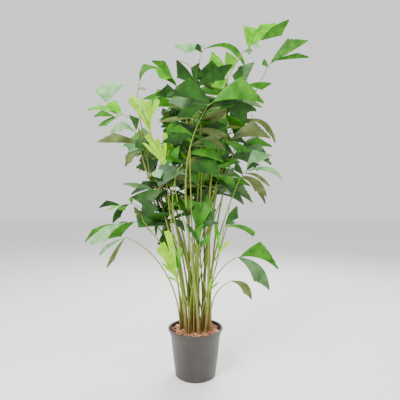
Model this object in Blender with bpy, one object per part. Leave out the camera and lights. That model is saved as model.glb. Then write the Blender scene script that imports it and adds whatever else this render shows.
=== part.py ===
"""Potted fishtail palm: a clump of thin stems with wedge-shaped leaflets, in a nursery pot.

Metres, +Z up. The origin is the centre of the pot's flat underside, and the front is at -Y.
"""

import math
import random

import bmesh
import bpy
from mathutils import Matrix, Vector
from mathutils.bvhtree import BVHTree

CM = 0.01
UP = Vector((0, 0, 1))
FRONT_VIEW = Vector((0, 1, 0))
CLEARANCE = 0.0003

# The pot: a thin out-turned lip, a shoulder band under it, and a straight taper to six feet
POT_HEIGHT = 0.255
POT_LIP_RADIUS = 0.150
POT_LIP_DEPTH = 0.007
POT_SHOULDER_DEPTH = 0.037
POT_TOP_RADIUS = 0.1415
POT_FOOT_RADIUS = 0.1095
POT_WALL = 0.003
POT_FLOOR = 0.004
POT_STEP = 0.0025
POT_FACETS = 36
FEET = 6
FOOT_NOTCH = 0.0036
NOTCH_SHARE = 0.2
MULCH_DROP = 0.011

# The clump: where the canes stand, how they rise, and how thick they and the leaf stalks are
CLUMP_RADIUS = 0.090
CLUMP_SPREAD = 0.30
GOLDEN_ANGLE = math.radians(137.508)
CANE_RISE = 0.42
CANE_ARRIVE = 0.30
CANE_LOW_SHIFT = 0.6
STEM_SHARE = 0.60
STEM_FOOT_RADIUS = 0.0072
STEM_TOP_RADIUS = 0.0046
STEM_FLARE = 1.35
STEM_FLARE_HEIGHT = 0.018
STEM_SIDES = 6
STEM_STATIONS = 7
STALK_SIDES = 4
STALK_STATIONS = 7
LOW_STALK_RADIUS = 0.0046
SIDE_STALK_RADIUS = 0.0038
SIDE_STALK_SLANT = math.tan(math.radians(20))
KNOT_RADIUS = 0.0034
RACHIS_TIP_RADIUS = 0.0027
RACHIS_LEAVED = 0.92

# Blades: a leaf is a hundredth of its length thick, and never under this
BLADE_LEAST_THICKNESS = 0.0017
BLADE_SHARE_THICKNESS = 0.0102
BLADE_ROOT_WIDTH = 0.0030
ROOT_SINK = 0.0010
BLADE_BULGE = 0.10
BLADE_CORNER = 0.6
ROLL_RANGE = math.radians(32)
SHADE_ROLL_RANGE = math.radians(65)
TEST_MARGIN = 0.0006

# A blade's rows from root to tail: share of its length, and how far a notch steps back there
BLADE_ROWS = [(0.0, 0.0), (0.30, 0.0), (0.60, 0.0), (0.78, 0.03), (1.0, 0.0)]

LEFT, RIGHT = 1, -1

# Leaflet kinds: width, cut and bare stalk as shares of the length, then lean and tail as shares of the
# width. The cut edge runs from the corner at the cut to the tail at the tip.
KINDS = {
    "broad": {"width": 0.46, "cut": 0.60, "lean": 0.12, "tail": 0.10, "arch": 0.12, "stalk": 0.0},
    "medium": {"width": 0.31, "cut": 0.64, "lean": 0.10, "tail": 0.12, "arch": 0.16, "stalk": 0.0},
    "narrow": {"width": 0.13, "cut": 0.70, "lean": 0.10, "tail": 0.25, "arch": 0.20, "stalk": 0.0},
    "strap": {"width": 0.17, "cut": 0.93, "lean": 0.35, "tail": 0.70, "arch": 0.06, "stalk": 0.0},
    "fan": {"width": 0.66, "cut": 0.90, "lean": 0.42, "tail": 0.45, "arch": 0.05, "stalk": 0.0},
    "lobe": {"width": 0.60, "cut": 0.74, "lean": 0.28, "tail": 0.35, "arch": 0.10, "stalk": 0.0},
    "wing": {"width": 0.40, "cut": 0.40, "lean": 0.12, "tail": 0.10, "arch": 0.20, "stalk": 0.0},
    "stalked": {"width": 0.40, "cut": 0.74, "lean": 0.16, "tail": 0.20, "arch": 0.16, "stalk": 0.34},
}

# Fronds that the front shows. Sizes are whole centimetres. The knot is where the leaflets begin, the
# rachis runs on from it, and a leaflet row is: kind, side of its cut edge, tip from the knot, arch.
# A frond tops a stem of its own, unless it leaves a host stem at some height or is low: then its
# stalk rises from the mulch. Its shade is how many leaflets fill the crown on the stalk's upper part.
FRONDS = [
    {"name": "frond_01", "knot": (40, 5, 169), "rachis": (4, -1, 5), "leaflets": [
        ("lobe", LEFT, (-3, -3, 4)), ("medium", LEFT, (24, -7, 15), 0.06),
        ("narrow", LEFT, (27, 1, 7), 0.05)]},
    {"name": "frond_02", "knot": (26, 0, 176), "rachis": (11, -2, 7), "leaflets": [
        ("lobe", RIGHT, (5, -4, -1)), ("fan", LEFT, (6, 3, 17)), ("medium", LEFT, (21, 4, 20), 0.04),
        ("lobe", RIGHT, (8, -5, 0)), ("medium", RIGHT, (28, 0, 19), 0.1)]},
    {"name": "frond_03", "knot": (19, 15, 166), "rachis": (-1, -1, 4), "shade": 3, "leaflets": [
        ("broad", LEFT, (-11, -3, -6)), ("broad", LEFT, (-10, 5, 18)), ("fan", RIGHT, (3, 3, 18))]},
    {"name": "frond_04", "knot": (1, -18, 151), "rachis": (-1, 0, 3), "shade": 3, "leaflets": [
        ("medium", RIGHT, (21, 4, 14), 0.2), ("medium", LEFT, (1, 2, 13)),
        ("broad", LEFT, (-12, -2, 14), 0.04)]},
    {"name": "frond_05", "knot": (6, -28, 139), "rachis": (3, -1, 2), "shade": 5, "leaflets": [
        ("medium", LEFT, (-16, -6, -8), 0.3), ("medium", LEFT, (-22, 8, 4), 0.3),
        ("broad", RIGHT, (-22, -2, 6), 0.2), ("medium", RIGHT, (27, 6, -1), 0.2),
        ("broad", LEFT, (26, -2, 2), 0.25)]},
    {"name": "frond_06", "knot": (-10, 5, 158), "rachis": (-4, 0, 6), "shade": 5, "leaflets": [
        ("medium", RIGHT, (-6, -5, 3)), ("medium", LEFT, (-16, 6, 15)),
        ("medium", RIGHT, (-16, -3, 16), 0.1)]},
    {"name": "frond_07", "knot": (-31, -5, 153), "rachis": (2, -1, 6), "leaflets": [
        ("medium", RIGHT, (4, 7, 4)), ("stalked", LEFT, (-25, -3, -2), 0.2),
        ("medium", LEFT, (11, 1, 13), 0.5)]},
    {"name": "frond_08", "knot": (-28, -10, 119), "rachis": (-3, -2, 14), "leaflets": [
        ("medium", LEFT, (-10, 2, -8), 0.5), ("lobe", LEFT, (-10, 3, 5)),
        ("medium", RIGHT, (-25, -4, 6), 0.05), ("broad", RIGHT, (1, -8, 0), 0.5),
        ("medium", LEFT, (-14, -10, 8), 0.8), ("broad", RIGHT, (-6, -2, 21))]},
    {"name": "frond_09", "knot": (-23, -10, 129), "rachis": (-2, 0, 5), "shade": 4, "leaflets": [
        ("narrow", RIGHT, (-11, 3, 21)), ("strap", LEFT, (-12, -3, 21)),
        ("narrow", RIGHT, (-5, -1, 19)), ("strap", RIGHT, (3, 2, 19)), ("medium", LEFT, (-1, 7, 20))]},
    {"name": "frond_10", "knot": (-15, -20, 110), "rachis": (0, 0, 4), "shade": 4, "leaflets": [
        ("lobe", LEFT, (-6, -5, -4)), ("medium", RIGHT, (9, 3, 13)), ("narrow", LEFT, (-12, 0, 15)),
        ("narrow", LEFT, (-9, -3, 16)), ("strap", LEFT, (-8, -2, 17)), ("strap", LEFT, (-4, -1, 17)),
        ("strap", RIGHT, (0, 0, 18)), ("strap", RIGHT, (4, 1, 17))]},
    {"name": "frond_11", "knot": (-18, -12, 96), "rachis": (-2, 0, 5), "shade": 2, "leaflets": [
        ("medium", LEFT, (-19, -5, 6), 0.25), ("narrow", LEFT, (-21, 7, 8), 0.2),
        ("broad", LEFT, (-14, 2, 18), 0.05)]},
    {"name": "frond_12", "knot": (-34, 0, 93), "rachis": (-9, 0, -1), "leaflets": [
        ("lobe", RIGHT, (-3, 5, 4)), ("medium", LEFT, (-11, -6, -12), 0.4),
        ("lobe", LEFT, (-7, -5, -4)), ("narrow", LEFT, (-16, 3, -4)), ("medium", RIGHT, (-18, -3, -2))]},
    {"name": "frond_13", "knot": (24, -5, 107), "rachis": (4, -1, 5), "leaflets": [
        ("narrow", RIGHT, (14, 4, -14), 0.35), ("medium", RIGHT, (15, -4, -12), 0.35),
        ("broad", LEFT, (-4, -4, 9)), ("narrow", RIGHT, (14, -8, -5), 0.3),
        ("narrow", LEFT, (23, 1, -1), 0.3), ("medium", LEFT, (11, -4, 7)), ("broad", LEFT, (17, 4, 13))]},
    {"name": "frond_14", "knot": (14, -10, 125), "rachis": (5, 0, 1), "shade": 3, "leaflets": [
        ("medium", RIGHT, (5, -4, -7)), ("medium", RIGHT, (15, 6, -4)), ("medium", LEFT, (14, -1, -1)),
        ("broad", LEFT, (24, -5, 2), 0.25)]},
    {"name": "frond_15", "knot": (3, 10, 179), "rachis": (3, 0, 6), "shade": 2, "leaflets": [
        ("lobe", LEFT, (-3, -1, 6)), ("narrow", RIGHT, (25, -5, -10), 0.6),
        ("medium", LEFT, (-18, 4, 6), 0.1)]},
    {"name": "frond_16", "knot": (23, -5, 154), "rachis": (6, 0, 3), "shade": 4, "leaflets": [
        ("broad", LEFT, (1, -2, 12)), ("broad", LEFT, (9, 3, 18)), ("medium", RIGHT, (19, -3, 2), 0.1)]},
    {"name": "frond_17", "host": ("stem_08", 78), "knot": (-38, -8, 140), "rachis": (-5, 0, -2), "leaflets": [
        ("lobe", RIGHT, (-9, -2, 6)), ("narrow", RIGHT, (-20, 4, 3)), ("medium", LEFT, (-15, 1, -7)),
        ("medium", RIGHT, (-16, -4, -2))]},
    {"name": "frond_18", "host": ("stem_11", 60), "knot": (-26, -15, 84), "rachis": (-2, 0, 5), "leaflets": [
        ("lobe", RIGHT, (4, 4, 11)), ("broad", LEFT, (-5, -3, 8))]},
    {"name": "frond_19", "low": True, "knot": (-33, 5, 83), "rachis": (-13, 0, -2), "leaflets": [
        ("medium", LEFT, (-17, -5, -11), 0.2), ("narrow", LEFT, (-14, 4, -7), 0.5),
        ("medium", LEFT, (-25, -3, -13), 0.3), ("narrow", RIGHT, (-30, 3, -12), 0.2)]},
    {"name": "frond_20", "low": True, "knot": (-37, -5, 75), "rachis": (-3, 0, -1), "leaflets": [
        ("narrow", LEFT, (-11, -3, -18), 0.1), ("narrow", RIGHT, (-15, 3, -10), 0.1)]},
    {"name": "frond_21", "low": True, "knot": (-8, -13, 52), "rachis": (-2, 0, 5), "leaflets": [
        ("narrow", LEFT, (-8, -2, 5)), ("narrow", LEFT, (-10, -4, 13)), ("strap", LEFT, (-12, -2, 22)),
        ("strap", LEFT, (-10, 0, 24)), ("strap", RIGHT, (-7, 2, 27))]},
    {"name": "frond_22", "low": True, "knot": (-9, -10, 53), "rachis": (0, 0, 4), "leaflets": [
        ("strap", LEFT, (-2, -1, 22)), ("strap", RIGHT, (1, 3, 20))]},
    {"name": "frond_23", "host": ("stem_10", 78), "knot": (-8, -22, 110), "rachis": (2, 0, 2), "leaflets": [
        ("broad", LEFT, (15, -2, -4), 0.5), ("medium", RIGHT, (9, 2, -8), 0.4)]},
    {"name": "frond_24", "low": True, "knot": (2, -13, 77), "rachis": (1, 0, 4), "leaflets": [
        ("medium", RIGHT, (10, -4, 6), 0.7), ("medium", LEFT, (1, -1, 18)),
        ("medium", RIGHT, (5, 3, 21)), ("medium", RIGHT, (10, -2, 15))]},
    {"name": "frond_25", "low": True, "knot": (2, -14, 70), "rachis": (0, 0, 3), "leaflets": [
        ("medium", RIGHT, (7, -2, 9)), ("narrow", LEFT, (-6, -3, 13)), ("medium", LEFT, (2, 4, 13))]},
    {"name": "frond_26", "host": ("stem_13", 62), "knot": (15, -10, 81), "rachis": (1, 0, 2), "leaflets": [
        ("strap", RIGHT, (18, -3, -4), 0.25), ("medium", RIGHT, (7, 3, 2), 0.4),
        ("broad", RIGHT, (8, -2, 12))]},
    {"name": "frond_27", "low": True, "knot": (12, -10, 66), "rachis": (0, 0, 2), "leaflets": [
        ("narrow", RIGHT, (8, -2, 10)), ("narrow", LEFT, (-2, 1, 17))]},
    {"name": "frond_28", "host": ("stem_13", 48), "knot": (22, -8, 65), "rachis": (2, 0, 0), "leaflets": [
        ("medium", RIGHT, (17, 3, -18), 0.35), ("wing", LEFT, (21, -3, -5), 0.35)]},
    {"name": "frond_29", "host": ("stem_01", 38), "knot": (18, -8, 52), "rachis": (2, 0, 1), "leaflets": [
        ("medium", RIGHT, (11, -2, -9), 0.55)]},
    {"name": "frond_30", "low": True, "knot": (7, -10, 46), "rachis": (0, 0, 3), "leaflets": [
        ("narrow", RIGHT, (6, 1, 7)), ("strap", LEFT, (2, -1, 9))]},
    {"name": "frond_31", "host": ("stem_14", 88), "knot": (23, 0, 138), "rachis": (4, 0, 1), "leaflets": [
        ("narrow", RIGHT, (20, -3, -12), 0.55), ("medium", LEFT, (12, 5, -5))]},
]

# Fronds at the back, by rule: bearing in degrees from +X, then knot radius and height in cm
BACK_FRONDS = [
    {"name": "frond_32", "shade": 3, "bearing": 28, "radius": 20, "height": 118},
    {"name": "frond_33", "shade": 3, "bearing": 52, "radius": 20, "height": 146},
    {"name": "frond_34", "shade": 4, "bearing": 84, "radius": 26, "height": 130},
    {"name": "frond_35", "shade": 4, "bearing": 116, "radius": 22, "height": 150},
    {"name": "frond_36", "host": ("stem_12", 70), "bearing": 134, "radius": 24, "height": 120},
    {"name": "frond_37", "host": ("stem_18", 62), "bearing": 66, "radius": 26, "height": 98},
    {"name": "frond_38", "host": ("stem_19", 66), "bearing": 108, "radius": 26, "height": 102},
]
BACK_KINDS = ("medium", "broad", "medium", "broad", "medium", "broad", "medium", "broad", "medium")
BACK_LEAFLET = 22
BACK_RACHIS = 14

# Shade leaflets, by rule: where on the cane they grow, their length in cm, and which way they point
SHADE_FIRST, SHADE_LAST = 0.68, 0.97
SHADE_KINDS = ("medium", "broad", "lobe")
SHADE_LENGTHS = (15, 22)
SHADE_BACKWARD = (0.15, 0.75)
SHADE_UPWARD = (-0.5, 0.7)

# How a cane or a leaflet steps aside where its first place is taken
CANE_SHIFTS = [(0, 0)] + [
    (size * math.cos(turn), size * math.sin(turn))
    for size in (0.015, 0.03, 0.05, 0.08)
    for turn in (math.tau * step / 8 for step in range(8))
]
HOST_RISES = (0, 4, -4, 8, -8, 12, -14, -20, -28)
TIP_SHIFTS = [
    (reach, CM * back)
    for reach in (1.0, 0.86)
    for back in (0, 3, -3, 6, -6, 9, -9, 12, -12)
]


def bezier(points, share):
    """The point on a Bezier curve at a share of its length, by repeated blending."""
    while len(points) > 1:
        points = [a.lerp(b, share) for a, b in zip(points, points[1:])]
    return points[0]


def slope(points, share):
    """The direction of a Bezier curve at a share of its length."""
    step = 1e-3
    low, high = max(0.0, share - step), min(1.0, share + step)
    return (bezier(points, high) - bezier(points, low)).normalized()


def ring(centre, direction, radius, sides):
    """A ring of points around a direction, turned so that neighbours along a limb line up."""
    across = (FRONT_VIEW - direction * FRONT_VIEW.dot(direction)).normalized()
    if abs(FRONT_VIEW.dot(direction)) > 0.9:
        across = (UP - direction * UP.dot(direction)).normalized()
    other = direction.cross(across)
    turns = [math.tau * (step + 0.5) / sides for step in range(sides)]
    return [centre + radius * (math.cos(t) * across + math.sin(t) * other) for t in turns]


def loft(rings):
    """Vertices and faces of a closed solid through rings that have the same number of points."""
    count = len(rings[0])
    points = [point for one in rings for point in one]
    faces = [tuple(reversed(range(count)))]
    for level in range(len(rings) - 1):
        low, high = level * count, (level + 1) * count
        for step in range(count):
            following = (step + 1) % count
            faces.append((low + step, low + following, high + following, high + step))
    faces.append(tuple(range(len(points) - count, len(points))))
    return points, faces


def material(name, colour, roughness):
    made = bpy.data.materials.new(name)
    made.use_nodes = True
    shader = made.node_tree.nodes["Principled BSDF"]
    shader.inputs["Base Color"].default_value = (*colour, 1)
    shader.inputs["Roughness"].default_value = roughness
    made.diffuse_color = (*colour, 1)
    return made


def solid_object(name, points, faces):
    """A named object whose faces all point outwards."""
    mesh = bpy.data.meshes.new(name)
    mesh.from_pydata(points, [], faces)
    shaped = bmesh.new()
    shaped.from_mesh(mesh)
    bmesh.ops.recalc_face_normals(shaped, faces=shaped.faces)
    shaped.to_mesh(mesh)
    shaped.free()
    made = bpy.data.objects.new(name, mesh)
    bpy.context.scene.collection.objects.link(made)
    return made


def finish(made, look):
    """Gives an object its material and smooth shading with sharp edges kept."""
    made.data.materials.clear()
    made.data.materials.append(look)
    made.data.shade_smooth()
    made.data.set_sharp_from_angle(angle=math.radians(35))


def wall_radius(height):
    """The pot's tapering outer wall, without its lip and shoulder."""
    share = height / POT_HEIGHT
    return POT_FOOT_RADIUS + (POT_TOP_RADIUS - POT_FOOT_RADIUS) * share


def turned(name, profile):
    """A solid turned round Z from (radius, height) points that start and end on the axis."""
    shaped = bmesh.new()
    made = [shaped.verts.new((radius, 0, height)) for radius, height in profile]
    edges = [shaped.edges.new(pair) for pair in zip(made, made[1:])]
    bmesh.ops.spin(
        shaped, geom=made + edges, axis=UP, cent=(0, 0, 0), angle=math.tau, steps=POT_FACETS, use_merge=True
    )
    bmesh.ops.remove_doubles(shaped, verts=shaped.verts, dist=1e-6)
    bmesh.ops.recalc_face_normals(shaped, faces=shaped.faces)
    mesh = bpy.data.meshes.new(name)
    shaped.to_mesh(mesh)
    shaped.free()
    turned_object = bpy.data.objects.new(name, mesh)
    bpy.context.scene.collection.objects.link(turned_object)
    return turned_object


def make_pot():
    shoulder = POT_HEIGHT - POT_SHOULDER_DEPTH
    under_lip = POT_HEIGHT - POT_LIP_DEPTH
    inner_top = POT_TOP_RADIUS - POT_WALL
    outside = [
        (0, 0),
        (POT_FOOT_RADIUS - 0.012, 0),
        (POT_FOOT_RADIUS - 0.004, 0),
        (POT_FOOT_RADIUS, 0.005),
        (wall_radius(shoulder) - POT_STEP, shoulder - 0.003),
        (wall_radius(shoulder), shoulder + 0.001),
        (POT_TOP_RADIUS, under_lip),
        (POT_LIP_RADIUS - 0.001, under_lip),
        (POT_LIP_RADIUS, under_lip + 0.002),
        (POT_LIP_RADIUS, POT_HEIGHT - 0.001),
        (POT_LIP_RADIUS - 0.001, POT_HEIGHT),
    ]
    inside = [
        (inner_top, POT_HEIGHT),
        (wall_radius(shoulder) - POT_STEP - POT_WALL, shoulder - 0.003),
        (POT_FOOT_RADIUS - POT_WALL, POT_FLOOR + 0.005),
        (POT_FOOT_RADIUS - POT_WALL - 0.004, POT_FLOOR),
        (0, POT_FLOOR),
    ]
    pot = turned("pot", outside + inside)
    for vertex in pot.data.vertices:
        turn = math.atan2(vertex.co.y, vertex.co.x) / math.tau * FEET
        between_feet = abs(turn - round(turn)) < NOTCH_SHARE
        at_rim = math.hypot(vertex.co.x, vertex.co.y) > POT_FOOT_RADIUS - 0.006
        if between_feet and at_rim and vertex.co.z < 0.001:
            vertex.co.z += FOOT_NOTCH
    return pot


def mulch_level():
    return POT_HEIGHT - MULCH_DROP


def make_mulch():
    """The potting mix with its bark mulch, which fills the pot and ends flat under the stems."""
    shoulder = POT_HEIGHT - POT_SHOULDER_DEPTH
    inner_top = POT_TOP_RADIUS - POT_WALL
    inner_shoulder = wall_radius(shoulder) - POT_STEP - POT_WALL
    share = (mulch_level() - shoulder + 0.003) / (POT_HEIGHT - shoulder + 0.003)
    inner_mulch = inner_shoulder + (inner_top - inner_shoulder) * share
    floor = POT_FLOOR + CLEARANCE
    profile = [
        (0, floor),
        (POT_FOOT_RADIUS - POT_WALL - 0.004 - CLEARANCE, floor),
        (POT_FOOT_RADIUS - POT_WALL - 2 * CLEARANCE, POT_FLOOR + 0.005 + CLEARANCE),
        (inner_shoulder - 2 * CLEARANCE, shoulder - 0.003),
        (inner_mulch - 2 * CLEARANCE, mulch_level()),
        (0, mulch_level()),
    ]
    return turned("mulch", profile)


def foot_places(count):
    """Even places for the stems' feet, on a sunflower's spiral."""
    places = []
    for step in range(count):
        radius = CLUMP_RADIUS * math.sqrt((step + 0.5) / count)
        turn = GOLDEN_ANGLE * step
        places.append(Vector((radius * math.cos(turn), radius * math.sin(turn), mulch_level() + CLEARANCE)))
    return places


def metres(sizes):
    return Vector(sizes) * CM


def back_frond(row):
    """Fills in a back frond: its knot, and leaflets that fan to both sides of an arching rachis."""
    chance = random.Random(row["name"])
    bearing = math.radians(row["bearing"])
    outward = Vector((math.cos(bearing), math.sin(bearing), 0))
    aside = UP.cross(outward)
    rise = chance.uniform(0.35, 0.8)
    along = (outward + UP * rise).normalized()
    leaflets = []
    for index, kind in enumerate(BACK_KINDS):
        share = index / (len(BACK_KINDS) - 1)
        side = LEFT if index % 2 else RIGHT
        swing = side * math.radians(88 - 70 * share)
        length = BACK_LEAFLET * chance.uniform(0.85, 1.1)
        reach = along * math.cos(swing) + aside * math.sin(swing) - UP * chance.uniform(0.0, 0.45)
        tip = along * BACK_RACHIS * share + reach.normalized() * length
        leaflets.append((kind, side, tuple(tip), chance.uniform(0.12, 0.35)))
    knot = outward * row["radius"] + UP * row["height"]
    rachis = tuple(along * BACK_RACHIS)
    return {**row, "knot": tuple(knot), "rachis": rachis, "leaflets": leaflets, "view": -outward}


def all_fronds():
    return FRONDS + [back_frond(row) for row in BACK_FRONDS]


class Taken:
    """The room that finished pieces take up, so that a new piece can be tested against it."""

    def __init__(self):
        self.pieces = []

    def add(self, owner, points, faces):
        low = Vector(map(min, zip(*points)))
        high = Vector(map(max, zip(*points)))
        self.pieces.append((owner, low, high, BVHTree.FromPolygons(points, faces)))

    def is_free(self, points, faces, but=()):
        low = Vector(map(min, zip(*points)))
        high = Vector(map(max, zip(*points)))
        tree = BVHTree.FromPolygons(points, faces)
        for owner, other_low, other_high, other in self.pieces:
            apart = any(high[i] < other_low[i] or other_high[i] < low[i] for i in range(3))
            if owner not in but and not apart and tree.overlap(other):
                return False
        return True


def cane_curve(row, foot, lift, shift):
    """Bezier points from a foot, or a place on a host, up and over to the frond's knot."""
    knot = metres(row["knot"])
    span = knot - foot
    arrive = (metres(row["rachis"]).normalized() + span.normalized()).normalized()
    aside = Vector((shift[0], shift[1], 0))
    return [
        foot,
        foot + lift * span.length * CANE_RISE + aside * CANE_LOW_SHIFT,
        knot - arrive * span.length * CANE_ARRIVE + aside,
        knot,
    ]


def stem_rings(cane, extra):
    """A stem's rings from its flat foot, which flares, to where its leaf stalk begins."""
    curve, girth = cane["curve"], cane["girth"]
    rings = []
    for height, factor in [(0.0, STEM_FLARE), (STEM_FLARE_HEIGHT, 1.0)]:
        radius = STEM_FOOT_RADIUS * girth * factor + extra
        rings.append(ring(curve[0] + UP * height, UP, radius, STEM_SIDES))
    for step in range(1, STEM_STATIONS):
        share = STEM_SHARE * step / (STEM_STATIONS - 1)
        thickness = STEM_FOOT_RADIUS + (STEM_TOP_RADIUS - STEM_FOOT_RADIUS) * share / STEM_SHARE
        rings.append(ring(bezier(curve, share), slope(curve, share), thickness * girth + extra, STEM_SIDES))
    return rings


def stalk_rings(row, cane, extra):
    """A leaf stalk's rings from its beginning on the cane to the knot, then along the rachis."""
    curve, begin = cane["curve"], cane["begin"]
    rings = []
    for step in range(STALK_STATIONS):
        share = begin + (1 - begin) * step / (STALK_STATIONS - 1)
        radius = cane["radius"] + (KNOT_RADIUS - cane["radius"]) * step / (STALK_STATIONS - 1)
        rings.append(ring(bezier(curve, share), slope(curve, share), radius + extra, STALK_SIDES))
    if "flat" in cane:
        rings[0] = slanted(rings[0], curve[0], slope(curve, 0), cane["flat"])
    if "stem" in cane:
        rings[0] = [point + slope(curve, begin) * CLEARANCE for point in rings[0]]
    rachis = metres(row["rachis"])
    rings.append(ring(curve[-1] + rachis, rachis.normalized(), RACHIS_TIP_RADIUS + extra, STALK_SIDES))
    return rings


def slanted(points, centre, direction, flat):
    """Slides a ring's points along a direction onto the plane that has this centre and normal."""
    return [point - direction * (point - centre).dot(flat) / direction.dot(flat) for point in points]


def margin(kind, share):
    """Both edges of a blade at a share of its rows: (along, across) on the tail side and the cut side."""
    stalk = kind["stalk"]
    if share <= stalk:
        return (share, 0), (share, 0)
    grown = (share - stalk) / (1 - stalk)
    lean, cut, tail = kind["lean"], kind["cut"], kind["tail"]
    far = 1 - lean * cut - BLADE_BULGE * math.sin(math.pi * cut)
    tail_side = (share, lean * grown + BLADE_BULGE * math.sin(math.pi * grown))
    if grown <= BLADE_CORNER:
        widened = grown / BLADE_CORNER
        return tail_side, (stalk + (1 - stalk) * cut * widened, -far * widened**0.8)
    closed = (grown - BLADE_CORNER) / (1 - BLADE_CORNER)
    return tail_side, (stalk + (1 - stalk) * (cut + (1 - cut) * closed), -far + (far + lean - tail) * closed)


def leaflet_rings(leaflet, extra):
    """A leaflet's rings: a thin four-cornered section at each row, from the sunk root to the tail."""
    kind, root, tip, view = leaflet["kind"], leaflet["root"], leaflet["tip"], leaflet["view"]
    length = (tip - root).length
    axis = (tip - root).normalized()
    lift = (UP - axis * UP.dot(axis) + view * 0.02).normalized()
    curve = [root, root.lerp(tip, 0.5) + lift * leaflet["arch"] * length, tip]
    across = Matrix.Rotation(leaflet["roll"], 3, axis) @ axis.cross(view).normalized() * leaflet["side"]
    thickness = max(BLADE_LEAST_THICKNESS, BLADE_SHARE_THICKNESS * length)
    width = kind["width"] * length
    root_half = BLADE_ROOT_WIDTH / 2 + extra
    rings = []
    for share, notch in BLADE_ROWS:
        (along_tail, out_tail), (along_cut, out_cut) = margin(kind, share)
        half = slope(curve, share).cross(across).normalized() * (thickness / 2 + extra)
        tail_point = bezier(curve, along_tail) - across * (out_tail * width + root_half)
        cut_point = bezier(curve, along_cut - notch) - across * (out_cut * width - root_half)
        rings.append([tail_point - half, cut_point - half, cut_point + half, tail_point + half])
    rings[0] = [point - axis * ROOT_SINK for point in rings[0]]
    return rings


def shown_leaflets(row):
    """The leaflets of a frond's own row, which leave the rachis in order from the knot to its end."""
    chance = random.Random("leaf " + row["name"])
    knot = metres(row["knot"])
    rachis = metres(row["rachis"]) * RACHIS_LEAVED
    count = len(row["leaflets"])
    for index, (kind, side, tip, *arch) in enumerate(row["leaflets"]):
        yield {
            "kind": KINDS[kind],
            "side": side,
            "root": knot + rachis * (index + 0.5) / count,
            "tip": knot + metres(tip),
            "arch": arch[0] if arch else KINDS[kind]["arch"],
            "roll": chance.uniform(-ROLL_RANGE, ROLL_RANGE),
            "view": row.get("view", FRONT_VIEW),
        }


def shade_leaflets(row, curve):
    """Leaflets by rule that point back and aside from the upper part of a frond's stalk."""
    chance = random.Random("shade " + row["name"])
    count = row.get("shade", 0)
    for index in range(count):
        root = bezier(curve, SHADE_FIRST + (SHADE_LAST - SHADE_FIRST) * (index + 0.5) / count)
        side = LEFT if index % 2 else RIGHT
        reach = Vector((side, chance.uniform(*SHADE_BACKWARD), chance.uniform(*SHADE_UPWARD)))
        kind = KINDS[chance.choice(SHADE_KINDS)]
        yield {
            "kind": kind,
            "side": chance.choice((LEFT, RIGHT)),
            "root": root,
            "tip": root + reach.normalized() * chance.uniform(*SHADE_LENGTHS) * CM,
            "arch": kind["arch"],
            "roll": chance.uniform(-SHADE_ROLL_RANGE, SHADE_ROLL_RANGE),
            "view": FRONT_VIEW,
        }


def join(made, others):
    """Unites an object with others by one Boolean on their collection, then removes them."""
    group = bpy.data.collections.new(made.name + "_parts")
    bpy.context.scene.collection.children.link(group)
    for other in others:
        bpy.context.scene.collection.objects.unlink(other)
        group.objects.link(other)
    union = made.modifiers.new("join", "BOOLEAN")
    union.operation = "UNION"
    union.operand_type = "COLLECTION"
    union.collection = group
    union.solver = "EXACT"
    apply_modifiers(made)
    for other in others:
        bpy.data.objects.remove(other)
    bpy.data.collections.remove(group)


def apply_modifiers(made):
    graph = bpy.context.evaluated_depsgraph_get()
    mesh = bpy.data.meshes.new_from_object(made.evaluated_get(graph))
    made.modifiers.clear()
    made.data = mesh


def keep_largest(made):
    """Drops what the union left loose."""
    shaped = bmesh.new()
    shaped.from_mesh(made.data)
    left = set(shaped.verts)
    shells = []
    while left:
        shell = {left.pop()}
        edge = list(shell)
        while edge:
            for link in edge.pop().link_edges:
                for vertex in link.verts:
                    if vertex in left:
                        left.remove(vertex)
                        shell.add(vertex)
                        edge.append(vertex)
        shells.append(shell)
    largest = max(shells, key=len)
    scraps = [vertex for shell in shells if shell is not largest for vertex in shell]
    bmesh.ops.delete(shaped, geom=scraps, context="VERTS")
    shaped.to_mesh(made.data)
    shaped.free()


def choose_feet(rows):
    """Gives each cane from the mulch the free foot place nearest its knot, lowest knots first."""
    standing = sorted((row for row in rows if "host" not in row), key=lambda row: row["knot"][2])
    places = foot_places(len(standing))
    feet = {}
    for row in standing:
        wish = metres(row["knot"]) * CLUMP_SPREAD
        foot = min(places, key=lambda place: (place.xy - wish.xy).length)
        places.remove(foot)
        feet[row["name"]] = foot
    return feet


def first_free(row, canes, taken):
    """The first of some canes that is clear of all that is placed."""
    for cane in canes:
        stalk = stalk_rings(row, cane, TEST_MARGIN)
        if "flat" in cane:
            stalk[0] = stalk_rings(row, cane, 0)[0]
        pieces = [stalk, stem_rings(cane, TEST_MARGIN)] if "stem" in cane else [stalk]
        if all(taken.is_free(*loft(piece)) for piece in pieces):
            return cane
    raise ValueError(f"no room for the cane of {row['name']}")


def standing_canes(row, foot, stem):
    """A cane from the mulch, with a stem in it or all leaf stalk, and its alternatives."""
    if stem:
        girth = random.Random(row["name"]).uniform(0.82, 1.12)
        sizes = {"girth": girth, "stem": stem, "begin": STEM_SHARE, "radius": STEM_TOP_RADIUS * girth}
    else:
        sizes = {"begin": 0.0, "radius": LOW_STALK_RADIUS}
    for shift in CANE_SHIFTS:
        yield {**sizes, "curve": cane_curve(row, foot, UP, shift)}


def host_share(curve, height):
    """The share of a host's curve that lies at a height."""
    low, high = 0.0, STEM_SHARE
    for _ in range(30):
        middle = (low + high) / 2
        if bezier(curve, middle).z < height:
            low = middle
        else:
            high = middle
    return low


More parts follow.
